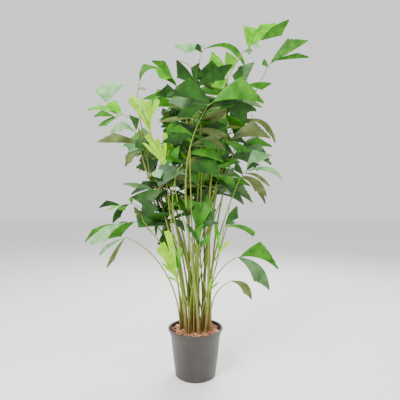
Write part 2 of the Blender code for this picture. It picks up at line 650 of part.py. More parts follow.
def side_canes(row, host):
    """A stalk that leaves the flat of its host's side, and its alternatives."""
    tree = BVHTree.FromPolygons(*loft(stem_rings(host, 0)))
    for rise in HOST_RISES:
        share = host_share(host["curve"], (row["host"][1] + rise) * CM)
        axis_point = bezier(host["curve"], share)
        toward = metres(row["knot"]) - axis_point
        toward.z = 0
        hit, flat, _, _ = tree.ray_cast(axis_point, toward.normalized())
        if hit is None:
            continue
        flat = flat if flat.dot(toward) > 0 else -flat
        lift = (slope(host["curve"], share) + flat * SIDE_STALK_SLANT).normalized()
        for shift in CANE_SHIFTS:
            curve = cane_curve(row, hit + flat * CLEARANCE, lift, shift)
            yield {"curve": curve, "begin": 0.0, "radius": SIDE_STALK_RADIUS, "flat": flat}


def place_canes(rows, taken):
    """Finds room for every frond's cane, lowest knots first, and last those that leave a host stem."""
    feet = choose_feet(rows)
    topped = [row["name"] for row in rows if "host" not in row and not row.get("low")]
    canes = {}
    stems = {}
    for row in sorted(rows, key=lambda row: ("host" in row, row["knot"][2])):
        name = row["name"]
        if "host" in row:
            cane = first_free(row, side_canes(row, stems[row["host"][0]]), taken)
        else:
            stem = f"stem_{topped.index(name) + 1:02d}" if name in topped else None
            cane = first_free(row, standing_canes(row, feet[name], stem), taken)
            if stem:
                stems[stem] = cane
                taken.add(stem, *loft(stem_rings(cane, 0)))
        taken.add(name, *loft(stalk_rings(row, cane, 0)))
        canes[name] = cane
    return canes, stems


def make_blades(row, cane, taken):
    """The leaflets of one frond, each turned aside until it is clear, or left out."""
    blades = []
    for leaflet in [*shown_leaflets(row), *shade_leaflets(row, cane["curve"])]:
        root, tip = leaflet["root"], leaflet["tip"]
        for reach, back in TIP_SHIFTS:
            moved = {**leaflet, "tip": root + (tip + leaflet["view"] * back - root) * reach}
            if taken.is_free(*loft(leaflet_rings(moved, TEST_MARGIN)), but=(row["name"],)):
                blade = loft(leaflet_rings(moved, 0))
                taken.add(row["name"], *blade)
                blades.append(solid_object(f"{row['name']}_blade", *blade))
                break
    return blades


def build():
    for old in list(bpy.data.objects):
        bpy.data.objects.remove(old)
    taken = Taken()
    pot = make_pot()
    finish(pot, material("pot_plastic", (0.045, 0.040, 0.036), 0.45))
    mulch = make_mulch()
    finish(mulch, material("bark_mulch", (0.22, 0.10, 0.06), 0.9))
    for made in (pot, mulch):
        corners = [vertex.co.copy() for vertex in made.data.vertices]
        taken.add(made.name, corners, [tuple(face.vertices) for face in made.data.polygons])
    rows = all_fronds()
    canes, stems = place_canes(rows, taken)
    stem_look = material("palm_stem", (0.20, 0.22, 0.06), 0.6)
    for name, cane in stems.items():
        finish(solid_object(name, *loft(stem_rings(cane, 0))), stem_look)
    leaf_look = material("palm_leaf", (0.06, 0.17, 0.02), 0.5)
    for row in rows:
        cane = canes[row["name"]]
        frond = solid_object(row["name"], *loft(stalk_rings(row, cane, 0)))
        join(frond, make_blades(row, cane, taken))
        keep_largest(frond)
        finish(frond, leaf_look)


build()
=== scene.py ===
"""The looks of a potted fishtail palm: fine leaflets, canes, pot and bark mulch round the fixed frame."""

import math
import random

import bpy
from mathutils import Matrix, Vector
from mathutils.bvhtree import BVHTree


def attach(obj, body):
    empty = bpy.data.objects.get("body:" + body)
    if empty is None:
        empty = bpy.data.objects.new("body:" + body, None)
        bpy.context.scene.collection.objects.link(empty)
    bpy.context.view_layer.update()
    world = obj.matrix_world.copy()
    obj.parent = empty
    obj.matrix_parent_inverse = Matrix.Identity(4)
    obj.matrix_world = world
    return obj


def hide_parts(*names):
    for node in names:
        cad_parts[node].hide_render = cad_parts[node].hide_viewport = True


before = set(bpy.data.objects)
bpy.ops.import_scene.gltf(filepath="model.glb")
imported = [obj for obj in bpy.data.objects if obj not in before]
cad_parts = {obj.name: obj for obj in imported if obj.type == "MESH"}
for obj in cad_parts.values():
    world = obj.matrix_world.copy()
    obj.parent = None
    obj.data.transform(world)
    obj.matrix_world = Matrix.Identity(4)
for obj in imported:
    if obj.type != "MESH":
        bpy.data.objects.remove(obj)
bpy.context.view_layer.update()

CM = 0.01
MM = 0.001
UP = Vector((0, 0, 1))
FRONT_VIEW = Vector((0, 1, 0))
CLEARANCE = 0.0003

# The photograph is 400 pixels wide, taken level with the middle of the plant
CAMERA_PLACE = (0.0245, -1.95, 0.95)
CAMERA_LENS = 32.04
SENSOR_WIDTH = 36

# Leaflets as the source makes them
BLADE_ROOT_WIDTH = 0.0030
BLADE_BULGE = 0.10
BLADE_CORNER = 0.6
BLADE_SWELLING = 0.8
VIEW_LIFT = 0.02
ROLL_RANGE = math.radians(32)
SHADE_ROLL_RANGE = math.radians(65)
NEARLY_PARALLEL = 0.9

# How the fine leaflets are meshed, pleated, bent and toothed
ROWS_TO_CORNER = 7
ROWS_TO_TAIL = 11
COLUMNS = 6
LEAF_THICKNESS = 0.8 * MM
PLEAT_DEPTH = 0.9 * MM
PLEATED_WIDTH = 0.03
CAMBER = 0.05
CURLS = (-0.5, 1.0)
RIPPLE = 0.012
RIPPLES_ALONG = 9
RIPPLES_ACROSS = 3
TOOTH_DEPTH = (0.012, 0.055)
RIB_LENGTH = 0.2
LEAF_SHARP_ANGLE = math.radians(50)

# Where a curve or a blade is compared with the frame, as shares of its length, and how near counts
STALK_TESTS = (0.25, 0.5, 0.75)
STEM_TESTS = (0.4, 0.7)
BLADE_TESTS = (0.30, BLADE_CORNER, 1.0)
NEAR_ENOUGH = 0.005

# The pot: a thin out-turned lip, a shoulder band under it, and a straight taper to six feet
POT_HEIGHT = 0.255
POT_LIP_RADIUS = 0.150
POT_LIP_DEPTH = 0.007
POT_SHOULDER_DEPTH = 0.037
POT_TOP_RADIUS = 0.1415
POT_FOOT_RADIUS = 0.1095
POT_WALL = 0.003
POT_FLOOR = 0.004
POT_STEP = 0.0025
POT_WAIST = 0.12
POT_BASE_INSET = 0.012
POT_HEEL = 0.004
POT_HEEL_HEIGHT = 0.005
POT_GROOVE = 0.003
POT_EDGE = 0.001
LIP_ROUNDING = 0.0015
LIP_LOWER_ROUNDING = 0.002
NEARLY_FLAT = 0.0001
POT_SIDES = 144
POT_SHARP_ANGLE = math.radians(32)
FEET = 6
FOOT_NOTCH = 0.0036
FOOT_RIM = 0.006
NOTCH_SHARE = 0.2
MULCH_LEVEL = POT_HEIGHT - 0.011

# The potting mix and its loose chips: how far they sink or rise in mm, tilt in radians, vary and thin out
SOIL_SIDES = 72
SOIL_GAP = 0.003
SOIL_FOOT_INSET = 0.008
SOIL_EDGES = ((0.002, 0.010), (0.006, 0.006))
CHIP_COUNT = 620
CHIP_LENGTHS = (9 * MM, 27 * MM)
CHIP_OUTLINE = ((-0.5, -0.22), (0.1, -0.3), (0.5, -0.1), (0.42, 0.24), (-0.12, 0.3), (-0.46, 0.16))
CHIP_LAYERS = ((-1, 0.86), (0, 1.0), (1, 0.8))
CHIP_INSET = 0.55
CHIP_HEIGHTS = (-6, 2)
CHIP_TILTS = ((-0.5, 0.5, "X"), (-0.3, 0.3, "Y"))
CHIP_THICKNESSES = (0.14, 0.26)
CHIP_JITTERS = (0.85, 1.15)
CHIP_LOOKS = (0, 0, 1, 2)
CHIP_SHARP_ANGLE = math.radians(20)

# The clump: where the canes stand, how they rise, and how thick they and the leaf stalks are
CLUMP_RADIUS = 0.090
CLUMP_SPREAD = 0.30
GOLDEN_ANGLE = math.radians(137.508)
CANE_RISE = 0.42
CANE_ARRIVE = 0.30
CANE_LOW_SHIFT = 0.6
STEM_SHARE = 0.60
STEM_FOOT_RADIUS = 0.0072
STEM_TOP_RADIUS = 0.0046
STEM_FLARE = 1.35
STEM_FLARE_HEIGHT = 0.018
STEM_SIDES = 6
STEM_STATIONS = 7
STEM_GIRTHS = (0.82, 1.12)
LOW_STALK_RADIUS = 0.0046
SIDE_STALK_RADIUS = 0.0038
SIDE_STALK_SLANT = math.tan(math.radians(20))
KNOT_RADIUS = 0.0034
RACHIS_LEAVED = 0.92

# The fine canes and stalks: their steps and facets, leaf scars, and taper
CANE_STEPS = 72
CANE_FACETS = 12
CANE_THINNING = 0.97
CANE_UNEVENNESS = 0.02
SCAR_SPACINGS = (6, 8)
SCAR_SWELLING = 0.12
STALK_STEPS = 24
RACHIS_STEPS = 4
STALK_FACETS = 8
FINE_KNOT_RADIUS = KNOT_RADIUS * 0.7
RACHIS_TAPER = 0.12

# Thin canes between the stems, which end inside the crown
THIN_CANES = 18
THIN_CANE_RADII = (0.0034, 0.0056)
THIN_CANE_KNOT = 1.05
THIN_CANE_GOALS = (0.72, 0.9)
THIN_CANE_RISE = 0.5
THIN_CANE_ARRIVE = 0.25
THIN_CANE_STEPS = 30
THIN_CANE_TAPER = 0.45

LEFT, RIGHT = 1, -1

# Leaflet kinds: width, cut and bare stalk as shares of the length, then lean and tail as shares of the
# width. The cut edge runs from the corner at the cut to the tail at the tip.
KINDS = {
    "broad": {"width": 0.46, "cut": 0.60, "lean": 0.12, "tail": 0.10, "arch": 0.12, "stalk": 0.0},
    "medium": {"width": 0.31, "cut": 0.64, "lean": 0.10, "tail": 0.12, "arch": 0.16, "stalk": 0.0},
    "narrow": {"width": 0.13, "cut": 0.70, "lean": 0.10, "tail": 0.25, "arch": 0.20, "stalk": 0.0},
    "strap": {"width": 0.17, "cut": 0.93, "lean": 0.35, "tail": 0.70, "arch": 0.06, "stalk": 0.0},
    "fan": {"width": 0.66, "cut": 0.90, "lean": 0.42, "tail": 0.45, "arch": 0.05, "stalk": 0.0},
    "lobe": {"width": 0.60, "cut": 0.74, "lean": 0.28, "tail": 0.35, "arch": 0.10, "stalk": 0.0},
    "wing": {"width": 0.40, "cut": 0.40, "lean": 0.12, "tail": 0.10, "arch": 0.20, "stalk": 0.0},
    "stalked": {"width": 0.40, "cut": 0.74, "lean": 0.16, "tail": 0.20, "arch": 0.16, "stalk": 0.34},
}

# Fronds that the front shows. Sizes are whole centimetres. The knot is where the leaflets begin, the
# rachis runs on from it, and a leaflet row is: kind, side of its cut edge, tip from the knot, arch.
# A frond tops a stem of its own, unless it leaves a host stem at some height or is low: then its
# stalk rises from the mulch. Its shade is how many leaflets fill the crown on the stalk's upper part.
FRONDS = [
    {"name": "frond_01", "knot": (40, 5, 169), "rachis": (4, -1, 5), "leaflets": [
        ("lobe", LEFT, (-3, -3, 4)), ("medium", LEFT, (24, -7, 15), 0.06),
        ("narrow", LEFT, (27, 1, 7), 0.05)]},
    {"name": "frond_02", "knot": (26, 0, 176), "rachis": (11, -2, 7), "leaflets": [
        ("lobe", RIGHT, (5, -4, -1)), ("fan", LEFT, (6, 3, 17)), ("medium", LEFT, (21, 4, 20), 0.04),
        ("lobe", RIGHT, (8, -5, 0)), ("medium", RIGHT, (28, 0, 19), 0.1)]},
    {"name": "frond_03", "knot": (19, 15, 166), "rachis": (-1, -1, 4), "shade": 3, "leaflets": [
        ("broad", LEFT, (-11, -3, -6)), ("broad", LEFT, (-10, 5, 18)), ("fan", RIGHT, (3, 3, 18))]},
    {"name": "frond_04", "knot": (1, -18, 151), "rachis": (-1, 0, 3), "shade": 3, "leaflets": [
        ("medium", RIGHT, (21, 4, 14), 0.2), ("medium", LEFT, (1, 2, 13)),
        ("broad", LEFT, (-12, -2, 14), 0.04)]},
    {"name": "frond_05", "knot": (6, -28, 139), "rachis": (3, -1, 2), "shade": 5, "leaflets": [
        ("medium", LEFT, (-16, -6, -8), 0.3), ("medium", LEFT, (-22, 8, 4), 0.3),
        ("broad", RIGHT, (-22, -2, 6), 0.2), ("medium", RIGHT, (27, 6, -1), 0.2),
        ("broad", LEFT, (26, -2, 2), 0.25)]},
    {"name": "frond_06", "knot": (-10, 5, 158), "rachis": (-4, 0, 6), "shade": 5, "leaflets": [
        ("medium", RIGHT, (-6, -5, 3)), ("medium", LEFT, (-16, 6, 15)),
        ("medium", RIGHT, (-16, -3, 16), 0.1)]},
    {"name": "frond_07", "knot": (-31, -5, 153), "rachis": (2, -1, 6), "leaflets": [
        ("medium", RIGHT, (4, 7, 4)), ("stalked", LEFT, (-25, -3, -2), 0.2),
        ("medium", LEFT, (11, 1, 13), 0.5)]},
    {"name": "frond_08", "knot": (-28, -10, 119), "rachis": (-3, -2, 14), "leaflets": [
        ("medium", LEFT, (-10, 2, -8), 0.5), ("lobe", LEFT, (-10, 3, 5)),
        ("medium", RIGHT, (-25, -4, 6), 0.05), ("broad", RIGHT, (1, -8, 0), 0.5),
        ("medium", LEFT, (-14, -10, 8), 0.8), ("broad", RIGHT, (-6, -2, 21))]},
    {"name": "frond_09", "knot": (-23, -10, 129), "rachis": (-2, 0, 5), "shade": 4, "leaflets": [
        ("narrow", RIGHT, (-11, 3, 21)), ("strap", LEFT, (-12, -3, 21)),
        ("narrow", RIGHT, (-5, -1, 19)), ("strap", RIGHT, (3, 2, 19)), ("medium", LEFT, (-1, 7, 20))]},
    {"name": "frond_10", "knot": (-15, -20, 110), "rachis": (0, 0, 4), "shade": 4, "leaflets": [
        ("lobe", LEFT, (-6, -5, -4)), ("medium", RIGHT, (9, 3, 13)), ("narrow", LEFT, (-12, 0, 15)),
        ("narrow", LEFT, (-9, -3, 16)), ("strap", LEFT, (-8, -2, 17)), ("strap", LEFT, (-4, -1, 17)),
        ("strap", RIGHT, (0, 0, 18)), ("strap", RIGHT, (4, 1, 17))]},
    {"name": "frond_11", "knot": (-18, -12, 96), "rachis": (-2, 0, 5), "shade": 2, "leaflets": [
        ("medium", LEFT, (-19, -5, 6), 0.25), ("narrow", LEFT, (-21, 7, 8), 0.2),
        ("broad", LEFT, (-14, 2, 18), 0.05)]},
    {"name": "frond_12", "knot": (-34, 0, 93), "rachis": (-9, 0, -1), "leaflets": [
        ("lobe", RIGHT, (-3, 5, 4)), ("medium", LEFT, (-11, -6, -12), 0.4),
        ("lobe", LEFT, (-7, -5, -4)), ("narrow", LEFT, (-16, 3, -4)), ("medium", RIGHT, (-18, -3, -2))]},
    {"name": "frond_13", "knot": (24, -5, 107), "rachis": (4, -1, 5), "leaflets": [
        ("narrow", RIGHT, (14, 4, -14), 0.35), ("medium", RIGHT, (15, -4, -12), 0.35),
        ("broad", LEFT, (-4, -4, 9)), ("narrow", RIGHT, (14, -8, -5), 0.3),
        ("narrow", LEFT, (23, 1, -1), 0.3), ("medium", LEFT, (11, -4, 7)), ("broad", LEFT, (17, 4, 13))]},
    {"name": "frond_14", "knot": (14, -10, 125), "rachis": (5, 0, 1), "shade": 3, "leaflets": [
        ("medium", RIGHT, (5, -4, -7)), ("medium", RIGHT, (15, 6, -4)), ("medium", LEFT, (14, -1, -1)),
        ("broad", LEFT, (24, -5, 2), 0.25)]},
    {"name": "frond_15", "knot": (3, 10, 179), "rachis": (3, 0, 6), "shade": 2, "leaflets": [
        ("lobe", LEFT, (-3, -1, 6)), ("narrow", RIGHT, (25, -5, -10), 0.6),
        ("medium", LEFT, (-18, 4, 6), 0.1)]},
    {"name": "frond_16", "knot": (23, -5, 154), "rachis": (6, 0, 3), "shade": 4, "leaflets": [
        ("broad", LEFT, (1, -2, 12)), ("broad", LEFT, (9, 3, 18)), ("medium", RIGHT, (19, -3, 2), 0.1)]},
    {"name": "frond_17", "host": ("stem_08", 78), "knot": (-38, -8, 140), "rachis": (-5, 0, -2), "leaflets": [
        ("lobe", RIGHT, (-9, -2, 6)), ("narrow", RIGHT, (-20, 4, 3)), ("medium", LEFT, (-15, 1, -7)),
        ("medium", RIGHT, (-16, -4, -2))]},
    {"name": "frond_18", "host": ("stem_11", 60), "knot": (-26, -15, 84), "rachis": (-2, 0, 5), "leaflets": [
        ("lobe", RIGHT, (4, 4, 11)), ("broad", LEFT, (-5, -3, 8))]},
    {"name": "frond_19", "low": True, "knot": (-33, 5, 83), "rachis": (-13, 0, -2), "leaflets": [
        ("medium", LEFT, (-17, -5, -11), 0.2), ("narrow", LEFT, (-14, 4, -7), 0.5),
        ("medium", LEFT, (-25, -3, -13), 0.3), ("narrow", RIGHT, (-30, 3, -12), 0.2)]},
    {"name": "frond_20", "low": True, "knot": (-37, -5, 75), "rachis": (-3, 0, -1), "leaflets": [
        ("narrow", LEFT, (-11, -3, -18), 0.1), ("narrow", RIGHT, (-15, 3, -10), 0.1)]},
    {"name": "frond_21", "low": True, "knot": (-8, -13, 52), "rachis": (-2, 0, 5), "leaflets": [
        ("narrow", LEFT, (-8, -2, 5)), ("narrow", LEFT, (-10, -4, 13)), ("strap", LEFT, (-12, -2, 22)),
        ("strap", LEFT, (-10, 0, 24)), ("strap", RIGHT, (-7, 2, 27))]},
    {"name": "frond_22", "low": True, "knot": (-9, -10, 53), "rachis": (0, 0, 4), "leaflets": [
        ("strap", LEFT, (-2, -1, 22)), ("strap", RIGHT, (1, 3, 20))]},
    {"name": "frond_23", "host": ("stem_10", 78), "knot": (-8, -22, 110), "rachis": (2, 0, 2), "leaflets": [
        ("broad", LEFT, (15, -2, -4), 0.5), ("medium", RIGHT, (9, 2, -8), 0.4)]},
    {"name": "frond_24", "low": True, "knot": (2, -13, 77), "rachis": (1, 0, 4), "leaflets": [
        ("medium", RIGHT, (10, -4, 6), 0.7), ("medium", LEFT, (1, -1, 18)),
        ("medium", RIGHT, (5, 3, 21)), ("medium", RIGHT, (10, -2, 15))]},
    {"name": "frond_25", "low": True, "knot": (2, -14, 70), "rachis": (0, 0, 3), "leaflets": [
        ("medium", RIGHT, (7, -2, 9)), ("narrow", LEFT, (-6, -3, 13)), ("medium", LEFT, (2, 4, 13))]},
    {"name": "frond_26", "host": ("stem_13", 62), "knot": (15, -10, 81), "rachis": (1, 0, 2), "leaflets": [
        ("strap", RIGHT, (18, -3, -4), 0.25), ("medium", RIGHT, (7, 3, 2), 0.4),
        ("broad", RIGHT, (8, -2, 12))]},
    {"name": "frond_27", "low": True, "knot": (12, -10, 66), "rachis": (0, 0, 2), "leaflets": [
        ("narrow", RIGHT, (8, -2, 10)), ("narrow", LEFT, (-2, 1, 17))]},
    {"name": "frond_28", "host": ("stem_13", 48), "knot": (22, -8, 65), "rachis": (2, 0, 0), "leaflets": [
        ("medium", RIGHT, (17, 3, -18), 0.35), ("wing", LEFT, (21, -3, -5), 0.35)]},
    {"name": "frond_29", "host": ("stem_01", 38), "knot": (18, -8, 52), "rachis": (2, 0, 1), "leaflets": [
        ("medium", RIGHT, (11, -2, -9), 0.55)]},
    {"name": "frond_30", "low": True, "knot": (7, -10, 46), "rachis": (0, 0, 3), "leaflets": [
        ("narrow", RIGHT, (6, 1, 7)), ("strap", LEFT, (2, -1, 9))]},
    {"name": "frond_31", "host": ("stem_14", 88), "knot": (23, 0, 138), "rachis": (4, 0, 1), "leaflets": [
        ("narrow", RIGHT, (20, -3, -12), 0.55), ("medium", LEFT, (12, 5, -5))]},
]

# Fronds at the back, by rule: bearing in degrees from +X, then knot radius and height in cm
BACK_FRONDS = [
    {"name": "frond_32", "shade": 3, "bearing": 28, "radius": 20, "height": 118},
    {"name": "frond_33", "shade": 3, "bearing": 52, "radius": 20, "height": 146},
    {"name": "frond_34", "shade": 4, "bearing": 84, "radius": 26, "height": 130},
    {"name": "frond_35", "shade": 4, "bearing": 116, "radius": 22, "height": 150},
    {"name": "frond_36", "host": ("stem_12", 70), "bearing": 134, "radius": 24, "height": 120},
    {"name": "frond_37", "host": ("stem_18", 62), "bearing": 66, "radius": 26, "height": 98},
    {"name": "frond_38", "host": ("stem_19", 66), "bearing": 108, "radius": 26, "height": 102},
]
BACK_KINDS = ("medium", "broad") * 4 + ("medium",)
BACK_LEAFLET = 22
BACK_RACHIS = 14
BACK_RISES = (0.35, 0.8)
BACK_SWING, BACK_SWING_LOSS = 88, 70
BACK_GROWTHS = (0.85, 1.1)
BACK_DROOPS = (0.0, 0.45)
BACK_ARCHES = (0.12, 0.35)

# Shade leaflets, by rule: where on the cane they grow, their length in cm, and which way they point
SHADE_FIRST, SHADE_LAST = 0.68, 0.97
SHADE_KINDS = ("medium", "broad", "lobe")
SHADE_LENGTHS = (15, 22)
SHADE_BACKWARD = (0.15, 0.75)
SHADE_UPWARD = (-0.5, 0.7)

# Smaller leaflets that fill the crown, by rule, along the same part of a shaded frond's stalk
FILLING_EACH = 17
FILLING_KINDS = ("medium", "broad", "lobe", "narrow")
FILLING_LENGTHS = (11, 18)
FILLING_ROLL_RANGE = math.radians(85)
FILLING_ASIDE = (-1, 1)
FILLING_BACKWARD = (-0.1, 0.8)
FILLING_UPWARD = (-0.6, 0.5)

# How a cane or a leaflet steps aside where its first place is taken
CANE_SHIFTS = [(0, 0)] + [
    (size * math.cos(turn), size * math.sin(turn))
    for size in (0.015, 0.03, 0.05, 0.08)
    for turn in (math.tau * step / 8 for step in range(8))
]
HOST_RISES = (0, 4, -4, 8, -8, 12, -14, -20, -28)
HALVINGS = 30
TIP_SHIFTS = [
    (reach, CM * back)
    for reach in (1.0, 0.86)
    for back in (0, 3, -3, 6, -6, 9, -9, 12, -12)
]

# Which tint each leaflet of a frond shows to the front, in the order of the table
# Dark is mature leaf green with painted shade, and bright is painted light
TINTS = {
    "frond_01": "mid mid mid", "frond_02": "grey bright bright pale mid", "frond_03": "bright bright bright",
    "frond_04": "dark dark dark", "frond_05": "dark grey dark dark mid", "frond_06": "mid bright mid",
    "frond_07": "pale pale mid", "frond_08": "olive pale olive dark pale dark",
    "frond_09": "young young young young bright", "frond_10": "pale mid young young young young young young",
    "frond_11": "olive grey dark", "frond_12": "mid dark mid bright dark",
    "frond_13": "olive olive dark olive pale dark pale", "frond_14": "dark mid dark olive",
    "frond_15": "dark mid pale", "frond_16": "dark grey mid", "frond_17": "bright bright mid mid",
    "frond_18": "dark olive", "frond_19": "mid grey pale mid", "frond_20": "olive pale",
    "frond_21": "young young young young young", "frond_22": "mid bright", "frond_23": "olive dark",
    "frond_24": "dark mid mid dark", "frond_25": "mid dark mid", "frond_26": "mid grey dark",
    "frond_27": "young bright", "frond_28": "grey mid", "frond_29": "olive", "frond_30": "bright young",
    "frond_31": "olive olive",
}
# Tints for leaflets by rule and at the back: their dark is painted shade, mostly inside the crown, and bright
# is painted light
SHADE_TINTS = ("dark", "dark", "mid", "olive")
BACK_TINTS = ("mid", "dark", "dark", "olive", "mid", "bright")
OTHER_SIDE = {
    "dark": "mid", "mid": "grey", "bright": "mid", "young": "bright",
    "olive": "mid", "pale": "mid", "grey": "dark",
}

# The studio: each light's name, place, power in watts and size
FLOOR_SIZE = 30
FLOOR_DROP = 0.5 * MM
AMBIENT_STRENGTH = 1.1
LIGHTS = (
    ("key_light", (-1.6, -2.4, 3.4), 230, 1.6),
    ("fill_light", (2.6, -1.6, 2.4), 30, 2.5),
    ("back_light", (0.8, 2.4, 3.2), 190, 2.0),
)
LIGHTS_AIM = Vector((0, 0, 1.1))

# Sockets of a colour mix, which share their names with those of other kinds of mix
MIX_FACTOR, MIX_FIRST, MIX_SECOND, MIX_RESULT = 0, 6, 7, 2


def bezier(points, share):
    """The point on a Bezier curve at a share of its length, by repeated blending."""
    while len(points) > 1:
        points = [a.lerp(b, share) for a, b in zip(points, points[1:])]
    return points[0]


def slope(points, share):
    """The direction of a Bezier curve at a share of its length."""
    step = 1e-3
    low, high = max(0.0, share - step), min(1.0, share + step)
    return (bezier(points, high) - bezier(points, low)).normalized()


def ring(centre, direction, radius, sides):
    """A ring of points around a direction, turned so that neighbours along a limb line up."""
    aim = UP if abs(FRONT_VIEW.dot(direction)) > NEARLY_PARALLEL else FRONT_VIEW
    across = (aim - direction * aim.dot(direction)).normalized()
    other = direction.cross(across)
    turns = [math.tau * (step + 0.5) / sides for step in range(sides)]
    return [centre + radius * (math.cos(t) * across + math.sin(t) * other) for t in turns]


def loft(rings):
    """Vertices and faces of a closed solid through rings that have the same number of points."""
    count = len(rings[0])
    points = [point for one in rings for point in one]
    faces = [tuple(reversed(range(count)))]
    for level in range(len(rings) - 1):
        low, high = level * count, (level + 1) * count
        for step in range(count):
            following = (step + 1) % count
            faces.append((low + step, low + following, high + following, high + step))
    faces.append(tuple(range(len(points) - count, len(points))))
    return points, faces


def round_axis(radius, turn, height):
    """The point at a radius, turn and height round the pot's axis."""
    return Vector((radius * math.cos(turn), radius * math.sin(turn), height))


def foot_places(count, phase=0):
    """Even places for the stems' feet, on a sunflower's spiral that starts at some phase."""
    places = []
    for step in range(count):
        radius = CLUMP_RADIUS * math.sqrt((step + 0.5) / count)
        places.append(round_axis(radius, GOLDEN_ANGLE * (step + phase), MULCH_LEVEL + CLEARANCE))
    return places


def metres(sizes):
    """A vector in metres from sizes in centimetres."""
    return Vector(sizes) * CM


def back_frond(row):
    """Fills in a back frond: its knot, and leaflets that fan to both sides of an arching rachis."""
    chance = random.Random(row["name"])
    bearing = math.radians(row["bearing"])
    outward = Vector((math.cos(bearing), math.sin(bearing), 0))
    aside = UP.cross(outward)
    along = (outward + UP * chance.uniform(*BACK_RISES)).normalized()
    leaflets = []
    for index, kind in enumerate(BACK_KINDS):
        share = index / (len(BACK_KINDS) - 1)
        side = LEFT if index % 2 else RIGHT
        swing = side * math.radians(BACK_SWING - BACK_SWING_LOSS * share)
        length = BACK_LEAFLET * chance.uniform(*BACK_GROWTHS)
        reach = along * math.cos(swing) + aside * math.sin(swing) - UP * chance.uniform(*BACK_DROOPS)
        tip = along * BACK_RACHIS * share + reach.normalized() * length
        leaflets.append((kind, side, tuple(tip), chance.uniform(*BACK_ARCHES)))
    knot = outward * row["radius"] + UP * row["height"]
    rachis = tuple(along * BACK_RACHIS)
    return {**row, "knot": tuple(knot), "rachis": rachis, "leaflets": leaflets, "view": -outward}


def all_fronds():
    """The rows of the fronds that the front shows, then of those at the back."""
    return FRONDS + [back_frond(row) for row in BACK_FRONDS]


def cane_curve(row, foot, lift, shift):
    """Bezier points from a foot, or a place on a host, up and over to the frond's knot."""
    knot = metres(row["knot"])
    span = knot - foot
    arrive = (metres(row["rachis"]).normalized() + span.normalized()).normalized()
    aside = Vector((shift[0], shift[1], 0))
    return [
        foot,
        foot + lift * span.length * CANE_RISE + aside * CANE_LOW_SHIFT,
        knot - arrive * span.length * CANE_ARRIVE + aside,
        knot,
    ]


def stem_thickness(share):
    """A stem's radius, before its girth, at a share of its cane's curve."""
    return STEM_FOOT_RADIUS + (STEM_TOP_RADIUS - STEM_FOOT_RADIUS) * share / STEM_SHARE


def stem_rings(cane, extra):
    """A stem's rings from its flat foot, which flares, to where its leaf stalk begins."""
    curve, girth = cane["curve"], cane["girth"]
    rings = []
    for height, factor in [(0.0, STEM_FLARE), (STEM_FLARE_HEIGHT, 1.0)]:
        radius = STEM_FOOT_RADIUS * girth * factor + extra
        rings.append(ring(curve[0] + UP * height, UP, radius, STEM_SIDES))
    for step in range(1, STEM_STATIONS):
        share = STEM_SHARE * step / (STEM_STATIONS - 1)
        radius = stem_thickness(share) * girth + extra
        rings.append(ring(bezier(curve, share), slope(curve, share), radius, STEM_SIDES))
    return rings


def margin(kind, share):
    """Both edges of a blade at a share of its rows: (along, across) on the tail side and the cut side."""
    stalk = kind["stalk"]
    if share <= stalk:
        return (share, 0), (share, 0)
    grown = (share - stalk) / (1 - stalk)
    lean, cut, tail = kind["lean"], kind["cut"], kind["tail"]
    far = 1 - lean * cut - BLADE_BULGE * math.sin(math.pi * cut)
    tail_side = (share, lean * grown + BLADE_BULGE * math.sin(math.pi * grown))
    if grown <= BLADE_CORNER:
        widened = grown / BLADE_CORNER
        return tail_side, (stalk + (1 - stalk) * cut * widened, -far * widened**BLADE_SWELLING)
    closed = (grown - BLADE_CORNER) / (1 - BLADE_CORNER)
    return tail_side, (stalk + (1 - stalk) * (cut + (1 - cut) * closed), -far + (far + lean - tail) * closed)


def shown_leaflets(row):
    """The leaflets of a frond's own row, which leave the rachis in order from the knot to its end."""
    chance = random.Random("leaf " + row["name"])
    knot = metres(row["knot"])
    rachis = metres(row["rachis"]) * RACHIS_LEAVED
    count = len(row["leaflets"])
    for index, (kind, side, tip, *arch) in enumerate(row["leaflets"]):
        yield {
            "kind": KINDS[kind],
            "side": side,
            "root": knot + rachis * (index + 0.5) / count,
            "tip": knot + metres(tip),
            "arch": arch[0] if arch else KINDS[kind]["arch"],
            "roll": chance.uniform(-ROLL_RANGE, ROLL_RANGE),
            "view": row.get("view", FRONT_VIEW),
        }


def ruled_leaflet(chance, root, reach, kinds, lengths, roll_range):
    """A leaflet that leaves its root in some direction, with the rest of it drawn by chance."""
    kind = KINDS[chance.choice(kinds)]
    return {
        "kind": kind,
        "side": chance.choice((LEFT, RIGHT)),
        "root": root,
        "tip": root + reach.normalized() * chance.uniform(*lengths) * CM,
        "arch": kind["arch"],
        "roll": chance.uniform(-roll_range, roll_range),
        "view": FRONT_VIEW,
    }


def shade_leaflets(row, curve):
    """Leaflets by rule that point back and aside from the upper part of a frond's stalk."""
    chance = random.Random("shade " + row["name"])
    count = row.get("shade", 0)
    for index in range(count):
        root = bezier(curve, SHADE_FIRST + (SHADE_LAST - SHADE_FIRST) * (index + 0.5) / count)
        side = LEFT if index % 2 else RIGHT
        reach = Vector((side, chance.uniform(*SHADE_BACKWARD), chance.uniform(*SHADE_UPWARD)))
        yield ruled_leaflet(chance, root, reach, SHADE_KINDS, SHADE_LENGTHS, SHADE_ROLL_RANGE)


def filling_leaflets(row, curve):
    """Smaller leaflets by rule on the same part of a shaded frond's stalk, pointing back and aside."""
    chance = random.Random("filling " + row["name"])
    for _ in range(FILLING_EACH if row.get("shade") else 0):
        root = bezier(curve, chance.uniform(SHADE_FIRST, SHADE_LAST))
        reach = Vector([chance.uniform(*span) for span in (FILLING_ASIDE, FILLING_BACKWARD, FILLING_UPWARD)])
        yield ruled_leaflet(chance, root, reach, FILLING_KINDS, FILLING_LENGTHS, FILLING_ROLL_RANGE)


